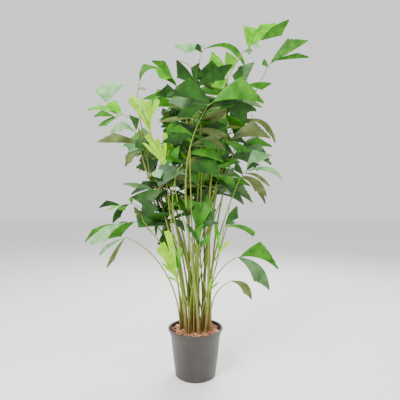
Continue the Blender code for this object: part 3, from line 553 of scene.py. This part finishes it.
def choose_feet(rows):
    """Gives each cane from the mulch the free foot place nearest its knot, lowest knots first."""
    standing = sorted((row for row in rows if "host" not in row), key=lambda row: row["knot"][2])
    places = foot_places(len(standing))
    feet = {}
    for row in standing:
        wish = metres(row["knot"]) * CLUMP_SPREAD
        foot = min(places, key=lambda place: (place.xy - wish.xy).length)
        places.remove(foot)
        feet[row["name"]] = foot
    return feet


def standing_canes(row, foot, stem):
    """A cane from the mulch, with a stem in it or all leaf stalk, and its alternatives."""
    if stem:
        girth = random.Random(row["name"]).uniform(*STEM_GIRTHS)
        sizes = {"girth": girth, "stem": stem, "begin": STEM_SHARE, "radius": STEM_TOP_RADIUS * girth}
    else:
        sizes = {"begin": 0.0, "radius": LOW_STALK_RADIUS}
    for shift in CANE_SHIFTS:
        yield {**sizes, "curve": cane_curve(row, foot, UP, shift)}


def host_share(curve, height):
    """The share of a host's curve that lies at a height."""
    low, high = 0.0, STEM_SHARE
    for _ in range(HALVINGS):
        middle = (low + high) / 2
        if bezier(curve, middle).z < height:
            low = middle
        else:
            high = middle
    return low


def side_canes(row, host):
    """A stalk that leaves the flat of its host's side, and its alternatives."""
    tree = BVHTree.FromPolygons(*loft(stem_rings(host, 0)))
    for rise in HOST_RISES:
        share = host_share(host["curve"], (row["host"][1] + rise) * CM)
        axis_point = bezier(host["curve"], share)
        toward = metres(row["knot"]) - axis_point
        toward.z = 0
        hit, flat, _, _ = tree.ray_cast(axis_point, toward.normalized())
        if hit is None:
            continue
        flat = flat if flat.dot(toward) > 0 else -flat
        lift = (slope(host["curve"], share) + flat * SIDE_STALK_SLANT).normalized()
        for shift in CANE_SHIFTS:
            curve = cane_curve(row, hit + flat * CLEARANCE, lift, shift)
            yield {"curve": curve, "begin": 0.0, "radius": SIDE_STALK_RADIUS, "flat": flat}


def hex_colour(text):
    """A linear colour from an sRGB hex value."""
    channels = [int(text[start:start + 2], 16) / 255 for start in (1, 3, 5)]
    linear = [value / 12.92 if value <= 0.04045 else ((value + 0.055) / 1.055) ** 2.4 for value in channels]
    return (*linear, 1)


def add_node(tree, kind, settings=None, links=None):
    """Adds a node with its settings, a ramp's stops among them, and the sockets that feed it."""
    node = tree.nodes.new(kind)
    for name, value in (settings or {}).items():
        if name == "stops":
            for element, (position, colour) in zip(node.color_ramp.elements, value):
                element.position = position
                element.color = colour
        elif name in node.inputs:
            node.inputs[name].default_value = value
        else:
            setattr(node, name, value)
    for name, socket in (links or {}).items():
        tree.links.new(socket, node.inputs[name])
    return node


def new_material(name, roughness):
    """A material with its node tree, its shader and the coordinates for its patterns."""
    made = bpy.data.materials.new(name)
    made.use_nodes = True
    shader = made.node_tree.nodes["Principled BSDF"]
    shader.inputs["Roughness"].default_value = roughness
    return made, made.node_tree, shader, add_node(made.node_tree, "ShaderNodeTexCoord").outputs


def leaf_material(name, low, high, roughness):
    """Living leaf: a waxy cuticle over soft green, with fine ribs that fan out from the root."""
    made, tree, shader, place = new_material(name, roughness)
    patches = {"Scale": 1 / (45 * MM), "Detail": 4.0}
    mottle = add_node(tree, "ShaderNodeTexNoise", patches, {"Vector": place["Object"]})
    greens = {"stops": ((0.32, hex_colour(low)), (0.68, hex_colour(high)))}
    green = add_node(tree, "ShaderNodeValToRGB", greens, {"Fac": mottle.outputs["Fac"]})
    # Real veins lie closer together, and are drawn this wide so that they show
    wave = {"Scale": 5.0, "Distortion": 0.6, "Detail": 1.0}
    ribs = add_node(tree, "ShaderNodeTexWave", wave, {"Vector": place["UV"]})
    shades = {"stops": ((0, (0.72, 0.74, 0.66, 1)), (1, (1, 1, 1, 1)))}
    shade = add_node(tree, "ShaderNodeValToRGB", shades, {"Fac": ribs.outputs["Fac"]})
    ribbed = add_node(
        tree, "ShaderNodeMix", {"data_type": "RGBA", "blend_type": "MULTIPLY"},
        {MIX_FIRST: green.outputs["Color"], MIX_SECOND: shade.outputs["Color"]},
    )
    ribbed.inputs[MIX_FACTOR].default_value = 0.55
    relief = {"Strength": 0.35, "Distance": 0.4 * MM}
    bump = add_node(tree, "ShaderNodeBump", relief, {"Height": ribs.outputs["Fac"]})
    tree.links.new(ribbed.outputs[MIX_RESULT], shader.inputs["Base Color"])
    tree.links.new(bump.outputs["Normal"], shader.inputs["Normal"])
    shader.inputs["Specular IOR Level"].default_value = 0.22
    shader.inputs["Subsurface Weight"].default_value = 0.08
    shader.inputs["Subsurface Scale"].default_value = 2 * MM
    return made


def cane_material():
    """Palm cane: green epidermis with brown fibre below, drawn lengthways along the stem."""
    made, tree, shader, place = new_material("palm_cane_epidermis", 0.48)
    # Real fibres are finer, and are drawn this wide so that they show
    lengthways = {"Scale": (1 / (4 * MM), 1 / (4 * MM), 1 / (90 * MM))}
    stretch = add_node(tree, "ShaderNodeMapping", lengthways, {"Vector": place["Object"]})
    strands = {"Scale": 1.0, "Detail": 6.0}
    fibre = add_node(tree, "ShaderNodeTexNoise", strands, {"Vector": stretch.outputs["Vector"]})
    greens = {"stops": ((0, hex_colour("#43560f")), (1, hex_colour("#93a52e")))}
    green = add_node(tree, "ShaderNodeValToRGB", greens, {"Fac": fibre.outputs["Fac"]})
    browns = {"stops": ((0, hex_colour("#432b12")), (1, hex_colour("#8d6a32")))}
    brown = add_node(tree, "ShaderNodeValToRGB", browns, {"Fac": fibre.outputs["Fac"]})
    axes = add_node(tree, "ShaderNodeSeparateXYZ", links={"Vector": place["Object"]})
    rise = {"From Min": 0.26, "From Max": 0.62}
    height = add_node(tree, "ShaderNodeMapRange", rise, {"Value": axes.outputs["Z"]})
    patches = {"Scale": 1 / (70 * MM), "Detail": 3.0}
    patchy = add_node(tree, "ShaderNodeTexNoise", patches, {"Vector": place["Object"]})
    both = add_node(
        tree, "ShaderNodeMath", {"operation": "ADD"},
        {0: height.outputs["Result"], 1: patchy.outputs["Fac"]},
    )
    turning = {"From Min": 0.45, "From Max": 1.0}
    level = add_node(tree, "ShaderNodeMapRange", turning, {"Value": both.outputs["Value"]})
    mixed = add_node(tree, "ShaderNodeMix", {"data_type": "RGBA"}, {
        MIX_FACTOR: level.outputs["Result"],
        MIX_FIRST: brown.outputs["Color"],
        MIX_SECOND: green.outputs["Color"],
    })
    relief = {"Strength": 0.5, "Distance": 0.6 * MM}
    bump = add_node(tree, "ShaderNodeBump", relief, {"Height": fibre.outputs["Fac"]})
    tree.links.new(mixed.outputs[MIX_RESULT], shader.inputs["Base Color"])
    tree.links.new(bump.outputs["Normal"], shader.inputs["Normal"])
    return made


def pot_material():
    """Recycled polypropylene, blow moulded: warm grey-black with a satin skin and faint dust."""
    made, tree, shader, place = new_material("recycled_polypropylene", 0.42)
    dusty = {"Scale": 1 / (60 * MM), "Detail": 6.0}
    dust = add_node(tree, "ShaderNodeTexNoise", dusty, {"Vector": place["Object"]})
    greys = {"stops": ((0, hex_colour("#2c2825")), (1, hex_colour("#423c37")))}
    grey = add_node(tree, "ShaderNodeValToRGB", greys, {"Fac": dust.outputs["Fac"]})
    satin = {"Scale": 1 / (1.5 * MM), "Detail": 2.0}
    grain = add_node(tree, "ShaderNodeTexNoise", satin, {"Vector": place["Object"]})
    relief = {"Strength": 0.12, "Distance": 0.3 * MM}
    bump = add_node(tree, "ShaderNodeBump", relief, {"Height": grain.outputs["Fac"]})
    tree.links.new(grey.outputs["Color"], shader.inputs["Base Color"])
    tree.links.new(bump.outputs["Normal"], shader.inputs["Normal"])
    return made


def bark_material(name, low, high):
    """Pine bark chip: broken cork layers, dull and fibrous, with lighter broken faces."""
    made, tree, shader, place = new_material(name, 0.85)
    corky = {"Scale": 1 / (7 * MM), "Detail": 6.0}
    layers = add_node(tree, "ShaderNodeTexNoise", corky, {"Vector": place["Object"]})
    browns = {"stops": ((0.3, hex_colour(low)), (0.7, hex_colour(high)))}
    brown = add_node(tree, "ShaderNodeValToRGB", browns, {"Fac": layers.outputs["Fac"]})
    relief = {"Strength": 0.8, "Distance": 1.0 * MM}
    bump = add_node(tree, "ShaderNodeBump", relief, {"Height": layers.outputs["Fac"]})
    tree.links.new(brown.outputs["Color"], shader.inputs["Base Color"])
    tree.links.new(bump.outputs["Normal"], shader.inputs["Normal"])
    return made


def floor_material():
    """Painted studio floor: matt and pale, with the faintest roller mottle."""
    made, tree, shader, place = new_material("studio_floor_paint", 0.8)
    rolled = {"Scale": 6.0, "Detail": 3.0}
    mottle = add_node(tree, "ShaderNodeTexNoise", rolled, {"Vector": place["Object"]})
    whites = {"stops": ((0, hex_colour("#ededeb")), (1, hex_colour("#f3f3f1")))}
    white = add_node(tree, "ShaderNodeValToRGB", whites, {"Fac": mottle.outputs["Fac"]})
    tree.links.new(white.outputs["Color"], shader.inputs["Base Color"])
    return made


# The dark leaf is mature green with painted shade, and the sunlit leaf is painted light
LEAF_MATERIALS = {
    "dark": leaf_material("mature_leaf_painted_shade", "#123405", "#27590c", 0.40),
    "mid": leaf_material("mature_leaf", "#265f08", "#458c12", 0.42),
    "bright": leaf_material("sunlit_leaf", "#3f9404", "#74c80c", 0.42),
    "young": leaf_material("young_leaf", "#74b206", "#a6dc1c", 0.42),
    "olive": leaf_material("old_leaf_olive", "#3c4c1c", "#66743a", 0.46),
    "pale": leaf_material("leaf_underside_pale", "#5f9c58", "#98cc90", 0.55),
    "grey": leaf_material("leaf_underside_grey", "#35592c", "#628a54", 0.55),
}
CANE = cane_material()
POT = pot_material()
SOIL = bark_material("peat_mix", "#2a1c14", "#4a3222")
CHIPS = [
    bark_material("pine_bark_red", "#7a4530", "#b9805c"),
    bark_material("pine_bark_pale", "#a8744f", "#d3a582"),
    bark_material("pine_bark_dark", "#4a2a1e", "#7c4e36"),
]


def node_tree(name):
    """The nearest-point tree of a frame node's mesh."""
    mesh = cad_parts[name].data
    return BVHTree.FromPolygons([v.co for v in mesh.vertices], [tuple(p.vertices) for p in mesh.polygons])


def distance(tree, point):
    """How far a point is from a node's surface."""
    return tree.find_nearest(point)[3]


def built_cane(canes, frond_tree, stem_tree):
    """The alternative whose curve runs through the frame's own solids."""
    def error(cane):
        begin = cane["begin"]
        found = [distance(frond_tree, bezier(cane["curve"], begin + (1 - begin) * s)) for s in STALK_TESTS]
        if stem_tree:
            found += [distance(stem_tree, bezier(cane["curve"], STEM_SHARE * s)) for s in STEM_TESTS]
        return max(found)

    return min(canes, key=error)


def place_canes(rows):
    """Every frond's cane as it was built, and the canes that hold each stem."""
    feet = choose_feet(rows)
    topped = [row["name"] for row in rows if "host" not in row and not row.get("low")]
    canes = {}
    stems = {}
    for row in sorted(rows, key=lambda row: "host" in row):
        name = row["name"]
        if "host" in row:
            cane = built_cane(side_canes(row, stems[row["host"][0]]), node_tree(name), None)
        else:
            stem = f"stem_{topped.index(name) + 1:02d}" if name in topped else None
            options = standing_canes(row, feet[name], stem)
            cane = built_cane(options, node_tree(name), node_tree(stem) if stem else None)
            if stem:
                stems[stem] = cane
        canes[name] = cane
    return canes, stems


def blade_frame(leaflet):
    """A blade's arched line from root to tip, and the direction across it."""
    root, tip = leaflet["root"], leaflet["tip"]
    axis = (tip - root).normalized()
    lift = (UP - axis * UP.dot(axis) + leaflet["view"] * VIEW_LIFT).normalized()
    curve = [root, root.lerp(tip, 0.5) + lift * leaflet["arch"] * (tip - root).length, tip]
    turn = Matrix.Rotation(leaflet["roll"], 3, axis)
    return curve, turn @ axis.cross(leaflet["view"]).normalized() * leaflet["side"]


def blade_points(leaflet, curve, across, share, notch):
    """Both edges of a blade at a share of its length."""
    (along_tail, out_tail), (along_cut, out_cut) = margin(leaflet["kind"], share)
    width = leaflet["kind"]["width"] * (leaflet["tip"] - leaflet["root"]).length
    root_half = BLADE_ROOT_WIDTH / 2
    tail_point = bezier(curve, along_tail) - across * (out_tail * width + root_half)
    cut_point = bezier(curve, along_cut - notch) - across * (out_cut * width - root_half)
    return tail_point, cut_point


def built_leaflet(leaflet, tree):
    """The leaflet where the frame has it, or none where it was left out."""
    best, least = None, NEAR_ENOUGH
    for reach, back in TIP_SHIFTS:
        aim = leaflet["tip"] + leaflet["view"] * back - leaflet["root"]
        moved = {**leaflet, "tip": leaflet["root"] + aim * reach}
        curve, across = blade_frame(moved)
        error = 0
        for share in BLADE_TESTS:
            tail_point, cut_point = blade_points(moved, curve, across, share, 0)
            error = max(error, distance(tree, (tail_point + cut_point) / 2))
        if error < least:
            best, least = (moved, curve, across), error
    return best


class Shape:
    """Points, faces, looks and UVs of a piece that is made from arrays."""

    def __init__(self):
        self.points, self.faces, self.looks, self.uvs = [], [], [], []

    def add_face(self, corners, look, uvs):
        """One face, with the number of its material and each corner's place on the pattern."""
        self.faces.append(corners)
        self.looks.append(look)
        self.uvs.extend(uvs)


def add_blade(shape, leaflet, curve, across, chance, front_look, back_look):
    """A thin leaf: two close skins, pleated, cambered and jagged at its far end."""
    length = (leaflet["tip"] - leaflet["root"]).length
    shares = [BLADE_CORNER * step / ROWS_TO_CORNER for step in range(ROWS_TO_CORNER)]
    shares += [BLADE_CORNER + (1 - BLADE_CORNER) * step / ROWS_TO_TAIL for step in range(ROWS_TO_TAIL + 1)]
    start = len(shape.points)
    curl = chance.uniform(*CURLS) * CAMBER
    wave = chance.uniform(0, math.tau)
    faces_front = slope(curve, 0.5).cross(across).dot(leaflet["view"]) < 0
    for row, share in enumerate(shares):
        toothed = row > ROWS_TO_CORNER and row % 2 and row < len(shares) - 1
        notch = chance.uniform(*TOOTH_DEPTH) if toothed else 0
        tail_point, cut_point = blade_points(leaflet, curve, across, share, notch)
        width = (cut_point - tail_point).length
        normal = slope(curve, share).cross(across).normalized()
        for column in range(COLUMNS + 1):
            t = column / COLUMNS
            bowl = curl * width * (1 - (2 * t - 1) ** 2)
            pleat = PLEAT_DEPTH * (1 if column % 2 else -1) * min(1, width / PLEATED_WIDTH)
            ripple = RIPPLE * width * math.sin(wave + RIPPLES_ALONG * share + RIPPLES_ACROSS * t)
            middle = tail_point.lerp(cut_point, t) + normal * (bowl + pleat + ripple)
            shape.points.append(middle + normal * LEAF_THICKNESS / 2)
            shape.points.append(middle - normal * LEAF_THICKNESS / 2)
    line = 2 * (COLUMNS + 1)
    upper, lower = (front_look, back_look) if faces_front else (back_look, front_look)

    def uv(row, column):
        return (column / COLUMNS, shares[row] * length / RIB_LENGTH)

    for row in range(len(shares) - 1):
        for column in range(COLUMNS):
            a = start + row * line + 2 * column
            b, c, d = a + 2, a + line + 2, a + line
            corners = [uv(row, column), uv(row, column + 1), uv(row + 1, column + 1), uv(row + 1, column)]
            shape.add_face((a, b, c, d), upper, corners)
            shape.add_face((a + 1, d + 1, c + 1, b + 1), lower, [corners[i] for i in (0, 3, 2, 1)])
    rim = [(0, column) for column in range(COLUMNS)] + [(row, COLUMNS) for row in range(len(shares) - 1)]
    rim += [(len(shares) - 1, column) for column in range(COLUMNS, 0, -1)]
    rim += [(row, 0) for row in range(len(shares) - 1, 0, -1)]
    for here, following in zip(rim, rim[1:] + rim[:1]):
        a = start + here[0] * line + 2 * here[1]
        b = start + following[0] * line + 2 * following[1]
        shape.add_face((a, a + 1, b + 1, b), upper, [uv(*here), uv(*here), uv(*following), uv(*following)])


def add_tube(shape, centres, radii, sides, look):
    """A closed tube through centres, with its own radius at each."""
    start = len(shape.points)
    for index, centre in enumerate(centres):
        before, after = centres[max(0, index - 1)], centres[min(len(centres) - 1, index + 1)]
        shape.points.extend(ring(centre, (after - before).normalized(), radii[index], sides))
    flat = [(0, 0)] * 4
    for level in range(len(centres) - 1):
        for step in range(sides):
            a, b = start + level * sides + step, start + level * sides + (step + 1) % sides
            shape.add_face((a, a + sides, b + sides, b), look, flat)
    shape.add_face(tuple(start + step for step in range(sides)), look, [(0, 0)] * sides)
    end = start + (len(centres) - 1) * sides
    shape.add_face(tuple(end + step for step in reversed(range(sides))), look, [(0, 0)] * sides)


def new_object(name, data):
    """An object in the scene."""
    made = bpy.data.objects.new(name, data)
    bpy.context.scene.collection.objects.link(made)
    return made


def finish_piece(name, shape, materials, slot, *nodes):
    """A piece from its arrays, with outward faces, its materials and the nodes that it stands for."""
    mesh = bpy.data.meshes.new(name)
    mesh.from_pydata(shape.points, [], shape.faces)
    for material in materials:
        mesh.materials.append(material)
    mesh.polygons.foreach_set("material_index", shape.looks)
    layer = mesh.uv_layers.new(name="UVMap")
    layer.data.foreach_set("uv", [value for pair in shape.uvs for value in pair])
    mesh.update()
    mesh.shade_smooth()
    mesh.set_sharp_from_angle(angle=LEAF_SHARP_ANGLE)
    piece = new_object(name, mesh)
    hand_over(piece, slot, *nodes)
    return piece


def hand_over(piece, slot, *nodes):
    """Rides a piece on the plant's one body and hides the frame's nodes that it stands for."""
    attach(piece, "root")
    if nodes:
        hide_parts(*nodes)


def make_frond(row, cane):
    """A frond's stalk and rachis with its fine leaflets."""
    chance = random.Random("fine " + row["name"])
    tree = node_tree(row["name"])
    names = list(LEAF_MATERIALS)
    shape = Shape()
    begin, curve, radius = cane["begin"], cane["curve"], cane["radius"]
    steps = range(STALK_STEPS + 1)
    centres = [bezier(curve, begin + (1 - begin) * step / STALK_STEPS) for step in steps]
    radii = [radius + (FINE_KNOT_RADIUS - radius) * step / STALK_STEPS for step in steps]
    steps = range(1, RACHIS_STEPS + 1)
    centres += [centres[-1] + metres(row["rachis"]) * step / RACHIS_STEPS for step in steps]
    radii += [FINE_KNOT_RADIUS * (1 - RACHIS_TAPER * step) for step in steps]
    add_tube(shape, centres, radii, STALK_FACETS, len(names))
    tints = TINTS.get(row["name"], "").split()
    shown = list(shown_leaflets(row))
    for index, leaflet in enumerate(shown + list(shade_leaflets(row, curve))):
        if index < len(tints):
            tint = tints[index]
        elif index < len(shown):
            tint = chance.choice(BACK_TINTS)
        else:
            tint = chance.choice(SHADE_TINTS)
        found = built_leaflet(leaflet, tree)
        if found:
            add_blade(shape, *found, chance, names.index(tint), names.index(OTHER_SIDE[tint]))
    for leaflet in filling_leaflets(row, curve):
        tint = chance.choice(SHADE_TINTS)
        looks = names.index(tint), names.index(OTHER_SIDE[tint])
        add_blade(shape, leaflet, *blade_frame(leaflet), chance, *looks)
    finish_piece(f"{row['name']}_leaflets", shape, [*LEAF_MATERIALS.values(), CANE], "palm_leaf", row["name"])


def make_thin_canes(canes):
    """Thin young canes and petioles among the stems, which end inside the crown."""
    chance = random.Random("thin canes")
    ends = [cane["curve"] for name, cane in sorted(canes.items()) if cane["curve"][-1].z > THIN_CANE_KNOT]
    shape = Shape()
    for step, foot in enumerate(foot_places(THIN_CANES, phase=0.5)):
        goal = bezier(ends[step % len(ends)], chance.uniform(*THIN_CANE_GOALS))
        span = (goal - foot).length
        curve = [foot, foot + UP * span * THIN_CANE_RISE, goal - UP * span * THIN_CANE_ARRIVE, goal]
        thick = chance.uniform(*THIN_CANE_RADII)
        levels = range(THIN_CANE_STEPS + 1)
        centres = [bezier(curve, level / THIN_CANE_STEPS) for level in levels]
        radii = [thick * (1 - THIN_CANE_TAPER * level / THIN_CANE_STEPS) for level in levels]
        add_tube(shape, centres, radii, STALK_FACETS, 0)
    finish_piece("thin_canes", shape, [CANE], "palm_stem")


def make_stem(name, cane):
    """A cane with leaf scars: a slight swelling at each node, and a flared foot on the mulch."""
    chance = random.Random("fine " + name)
    shape = Shape()
    spacing = int(chance.uniform(*SCAR_SPACINGS))
    centres, radii = [], []
    for step in range(CANE_STEPS + 1):
        share = STEM_SHARE * step / CANE_STEPS
        centre = bezier(cane["curve"], share)
        height = centre.z - cane["curve"][0].z
        flare = 1 + (STEM_FLARE - 1) * max(0, 1 - height / STEM_FLARE_HEIGHT)
        swelling = SCAR_SWELLING if step % spacing == 0 else 0
        scar = 1 + swelling + chance.uniform(-CANE_UNEVENNESS, CANE_UNEVENNESS)
        centres.append(centre)
        radii.append(stem_thickness(share) * cane["girth"] * flare * scar * CANE_THINNING)
    add_tube(shape, centres, radii, CANE_FACETS, 0)
    finish_piece(f"{name}_cane", shape, [CANE], "palm_stem", name)


def wall_radius(height):
    """The pot's tapering outer wall, without its lip and shoulder."""
    return POT_FOOT_RADIUS + (POT_TOP_RADIUS - POT_FOOT_RADIUS) * height / POT_HEIGHT


def turned(name, profile, vertices):
    """A turned piece: a filled circle, extruded from ring to ring and sized at each, then closed on top."""
    bpy.ops.object.select_all(action="DESELECT")
    radius, height = profile[0]
    place = (0, 0, height)
    bpy.ops.mesh.primitive_circle_add(vertices=vertices, radius=radius, fill_type="NGON", location=place)
    bpy.ops.object.mode_set(mode="EDIT")
    bpy.ops.mesh.select_all(action="SELECT")
    for following_radius, following_height in profile[1:]:
        bpy.ops.mesh.extrude_region_move(TRANSFORM_OT_translate={"value": (0, 0, following_height - height)})
        share = following_radius / radius
        bpy.ops.transform.resize(value=(share, share, 1), center_override=(0, 0, following_height))
        radius, height = following_radius, following_height
    bpy.ops.mesh.select_all(action="SELECT")
    bpy.ops.mesh.normals_make_consistent(inside=False)
    bpy.ops.object.mode_set(mode="OBJECT")
    bpy.ops.object.transform_apply(location=True, rotation=True, scale=True)
    made = bpy.context.object
    made.name = name
    return made


def make_pot():
    """The pot, turned from a profile of radius and height, with notches between its feet."""
    shoulder = POT_HEIGHT - POT_SHOULDER_DEPTH
    under_lip = POT_HEIGHT - POT_LIP_DEPTH
    inside = POT_TOP_RADIUS - POT_WALL
    profile = [
        (POT_FOOT_RADIUS - POT_BASE_INSET, 0),
        (POT_FOOT_RADIUS - POT_HEEL, 2 * NEARLY_FLAT),
        (POT_FOOT_RADIUS, POT_HEEL_HEIGHT),
        (wall_radius(POT_WAIST), POT_WAIST),
        (wall_radius(shoulder) - POT_STEP, shoulder - POT_GROOVE),
        (wall_radius(shoulder), shoulder + POT_EDGE),
        (POT_TOP_RADIUS, under_lip),
        (POT_LIP_RADIUS - POT_EDGE, under_lip + NEARLY_FLAT),
        (POT_LIP_RADIUS, under_lip + LIP_LOWER_ROUNDING),
        (POT_LIP_RADIUS, POT_HEIGHT - LIP_ROUNDING),
        (POT_LIP_RADIUS - LIP_ROUNDING, POT_HEIGHT),
        (inside + POT_EDGE, POT_HEIGHT - NEARLY_FLAT),
        (inside, POT_HEIGHT - POT_EDGE),
        (wall_radius(shoulder) - POT_STEP - POT_WALL, shoulder - POT_GROOVE),
        (POT_FOOT_RADIUS - POT_WALL, POT_FLOOR + POT_HEEL_HEIGHT),
        (POT_FOOT_RADIUS - POT_WALL - POT_HEEL, POT_FLOOR),
    ]
    pot = turned("nursery_pot", profile, POT_SIDES)
    for vertex in pot.data.vertices:
        turn = math.atan2(vertex.co.y, vertex.co.x) / math.tau * FEET
        at_rim = math.hypot(vertex.co.x, vertex.co.y) > POT_FOOT_RADIUS - FOOT_RIM
        if abs(turn - round(turn)) < NOTCH_SHARE and at_rim and vertex.co.z < MM:
            vertex.co.z += FOOT_NOTCH
    pot.data.materials.append(POT)
    pot.data.shade_smooth()
    pot.data.set_sharp_from_angle(angle=POT_SHARP_ANGLE)
    hand_over(pot, "pot_plastic", "pot")


def make_mulch():
    """The potting mix, with a layer of loose bark chips on it."""
    chance = random.Random("bark chips")
    edge = POT_TOP_RADIUS - POT_WALL - SOIL_GAP
    profile = [(POT_FOOT_RADIUS - SOIL_FOOT_INSET, POT_FLOOR + CLEARANCE)]
    profile += [(edge - inset, MULCH_LEVEL - depth) for inset, depth in SOIL_EDGES]
    soil = turned("potting_mix", profile, SOIL_SIDES)
    soil.data.materials.append(SOIL)
    shape = Shape()
    for _ in range(CHIP_COUNT):
        length = chance.uniform(*CHIP_LENGTHS)
        radius = (edge - length * CHIP_INSET) * math.sqrt(chance.random())
        turn = chance.uniform(0, math.tau)
        centre = round_axis(radius, turn, MULCH_LEVEL + chance.uniform(*CHIP_HEIGHTS) * MM)
        spin = Matrix.Rotation(chance.uniform(0, math.tau), 3, "Z")
        for least, most, axis in CHIP_TILTS:
            spin = spin @ Matrix.Rotation(chance.uniform(least, most), 3, axis)
        thick = length * chance.uniform(*CHIP_THICKNESSES)
        start = len(shape.points)
        for layer, grow in CHIP_LAYERS:
            for x, y in CHIP_OUTLINE:
                jitter = chance.uniform(*CHIP_JITTERS) * grow * length
                shape.points.append(centre + spin @ Vector((x * jitter, y * jitter, layer * thick / 2)))
        count = len(CHIP_OUTLINE)
        look = chance.choice(CHIP_LOOKS)
        for layer in (0, 1):
            for step in range(count):
                a, b = start + layer * count + step, start + layer * count + (step + 1) % count
                shape.add_face((a, b, b + count, a + count), look, [(0, 0)] * 4)
        shape.add_face(tuple(start + step for step in reversed(range(count))), look, [(0, 0)] * count)
        shape.add_face(tuple(start + 2 * count + step for step in range(count)), look, [(0, 0)] * count)
    hand_over(soil, "bark_mulch", "mulch")
    chips = finish_piece("bark_chips", shape, CHIPS, "bark_mulch")
    chips.data.set_sharp_from_angle(angle=CHIP_SHARP_ANGLE)


def make_studio():
    """A plain pale floor, soft lights and the photograph's camera."""
    bpy.ops.object.select_all(action="DESELECT")
    bpy.ops.mesh.primitive_plane_add(size=FLOOR_SIZE, location=(0, 0, -FLOOR_DROP))
    floor = bpy.context.object
    floor.name = "studio_floor"
    floor.data.materials.append(floor_material())
    world = bpy.data.worlds.new("studio_world")
    bpy.context.scene.world = world
    world.use_nodes = True
    background = world.node_tree.nodes["Background"]
    background.inputs["Color"].default_value = (1, 1, 1, 1)
    background.inputs["Strength"].default_value = AMBIENT_STRENGTH
    for name, place, energy, size in LIGHTS:
        light = bpy.data.lights.new(name, "AREA")
        light.energy = energy
        light.size = size
        lamp = new_object(name, light)
        lamp.location = place
        lamp.rotation_euler = (LIGHTS_AIM - Vector(place)).to_track_quat("-Z", "Y").to_euler()
    camera = bpy.data.cameras.new("photo_camera")
    camera.lens = CAMERA_LENS
    camera.sensor_width = SENSOR_WIDTH
    viewer = new_object("photo_camera", camera)
    viewer.location = CAMERA_PLACE
    viewer.rotation_euler = (math.pi / 2, 0, 0)
    bpy.context.scene.camera = viewer


make_studio()
rows = all_fronds()
canes, stems = place_canes(rows)
for stem_name, stem_cane in stems.items():
    make_stem(stem_name, stem_cane)
make_thin_canes(canes)
for frond_row in rows:
    make_frond(frond_row, canes[frond_row["name"]])
make_pot()
make_mulch()
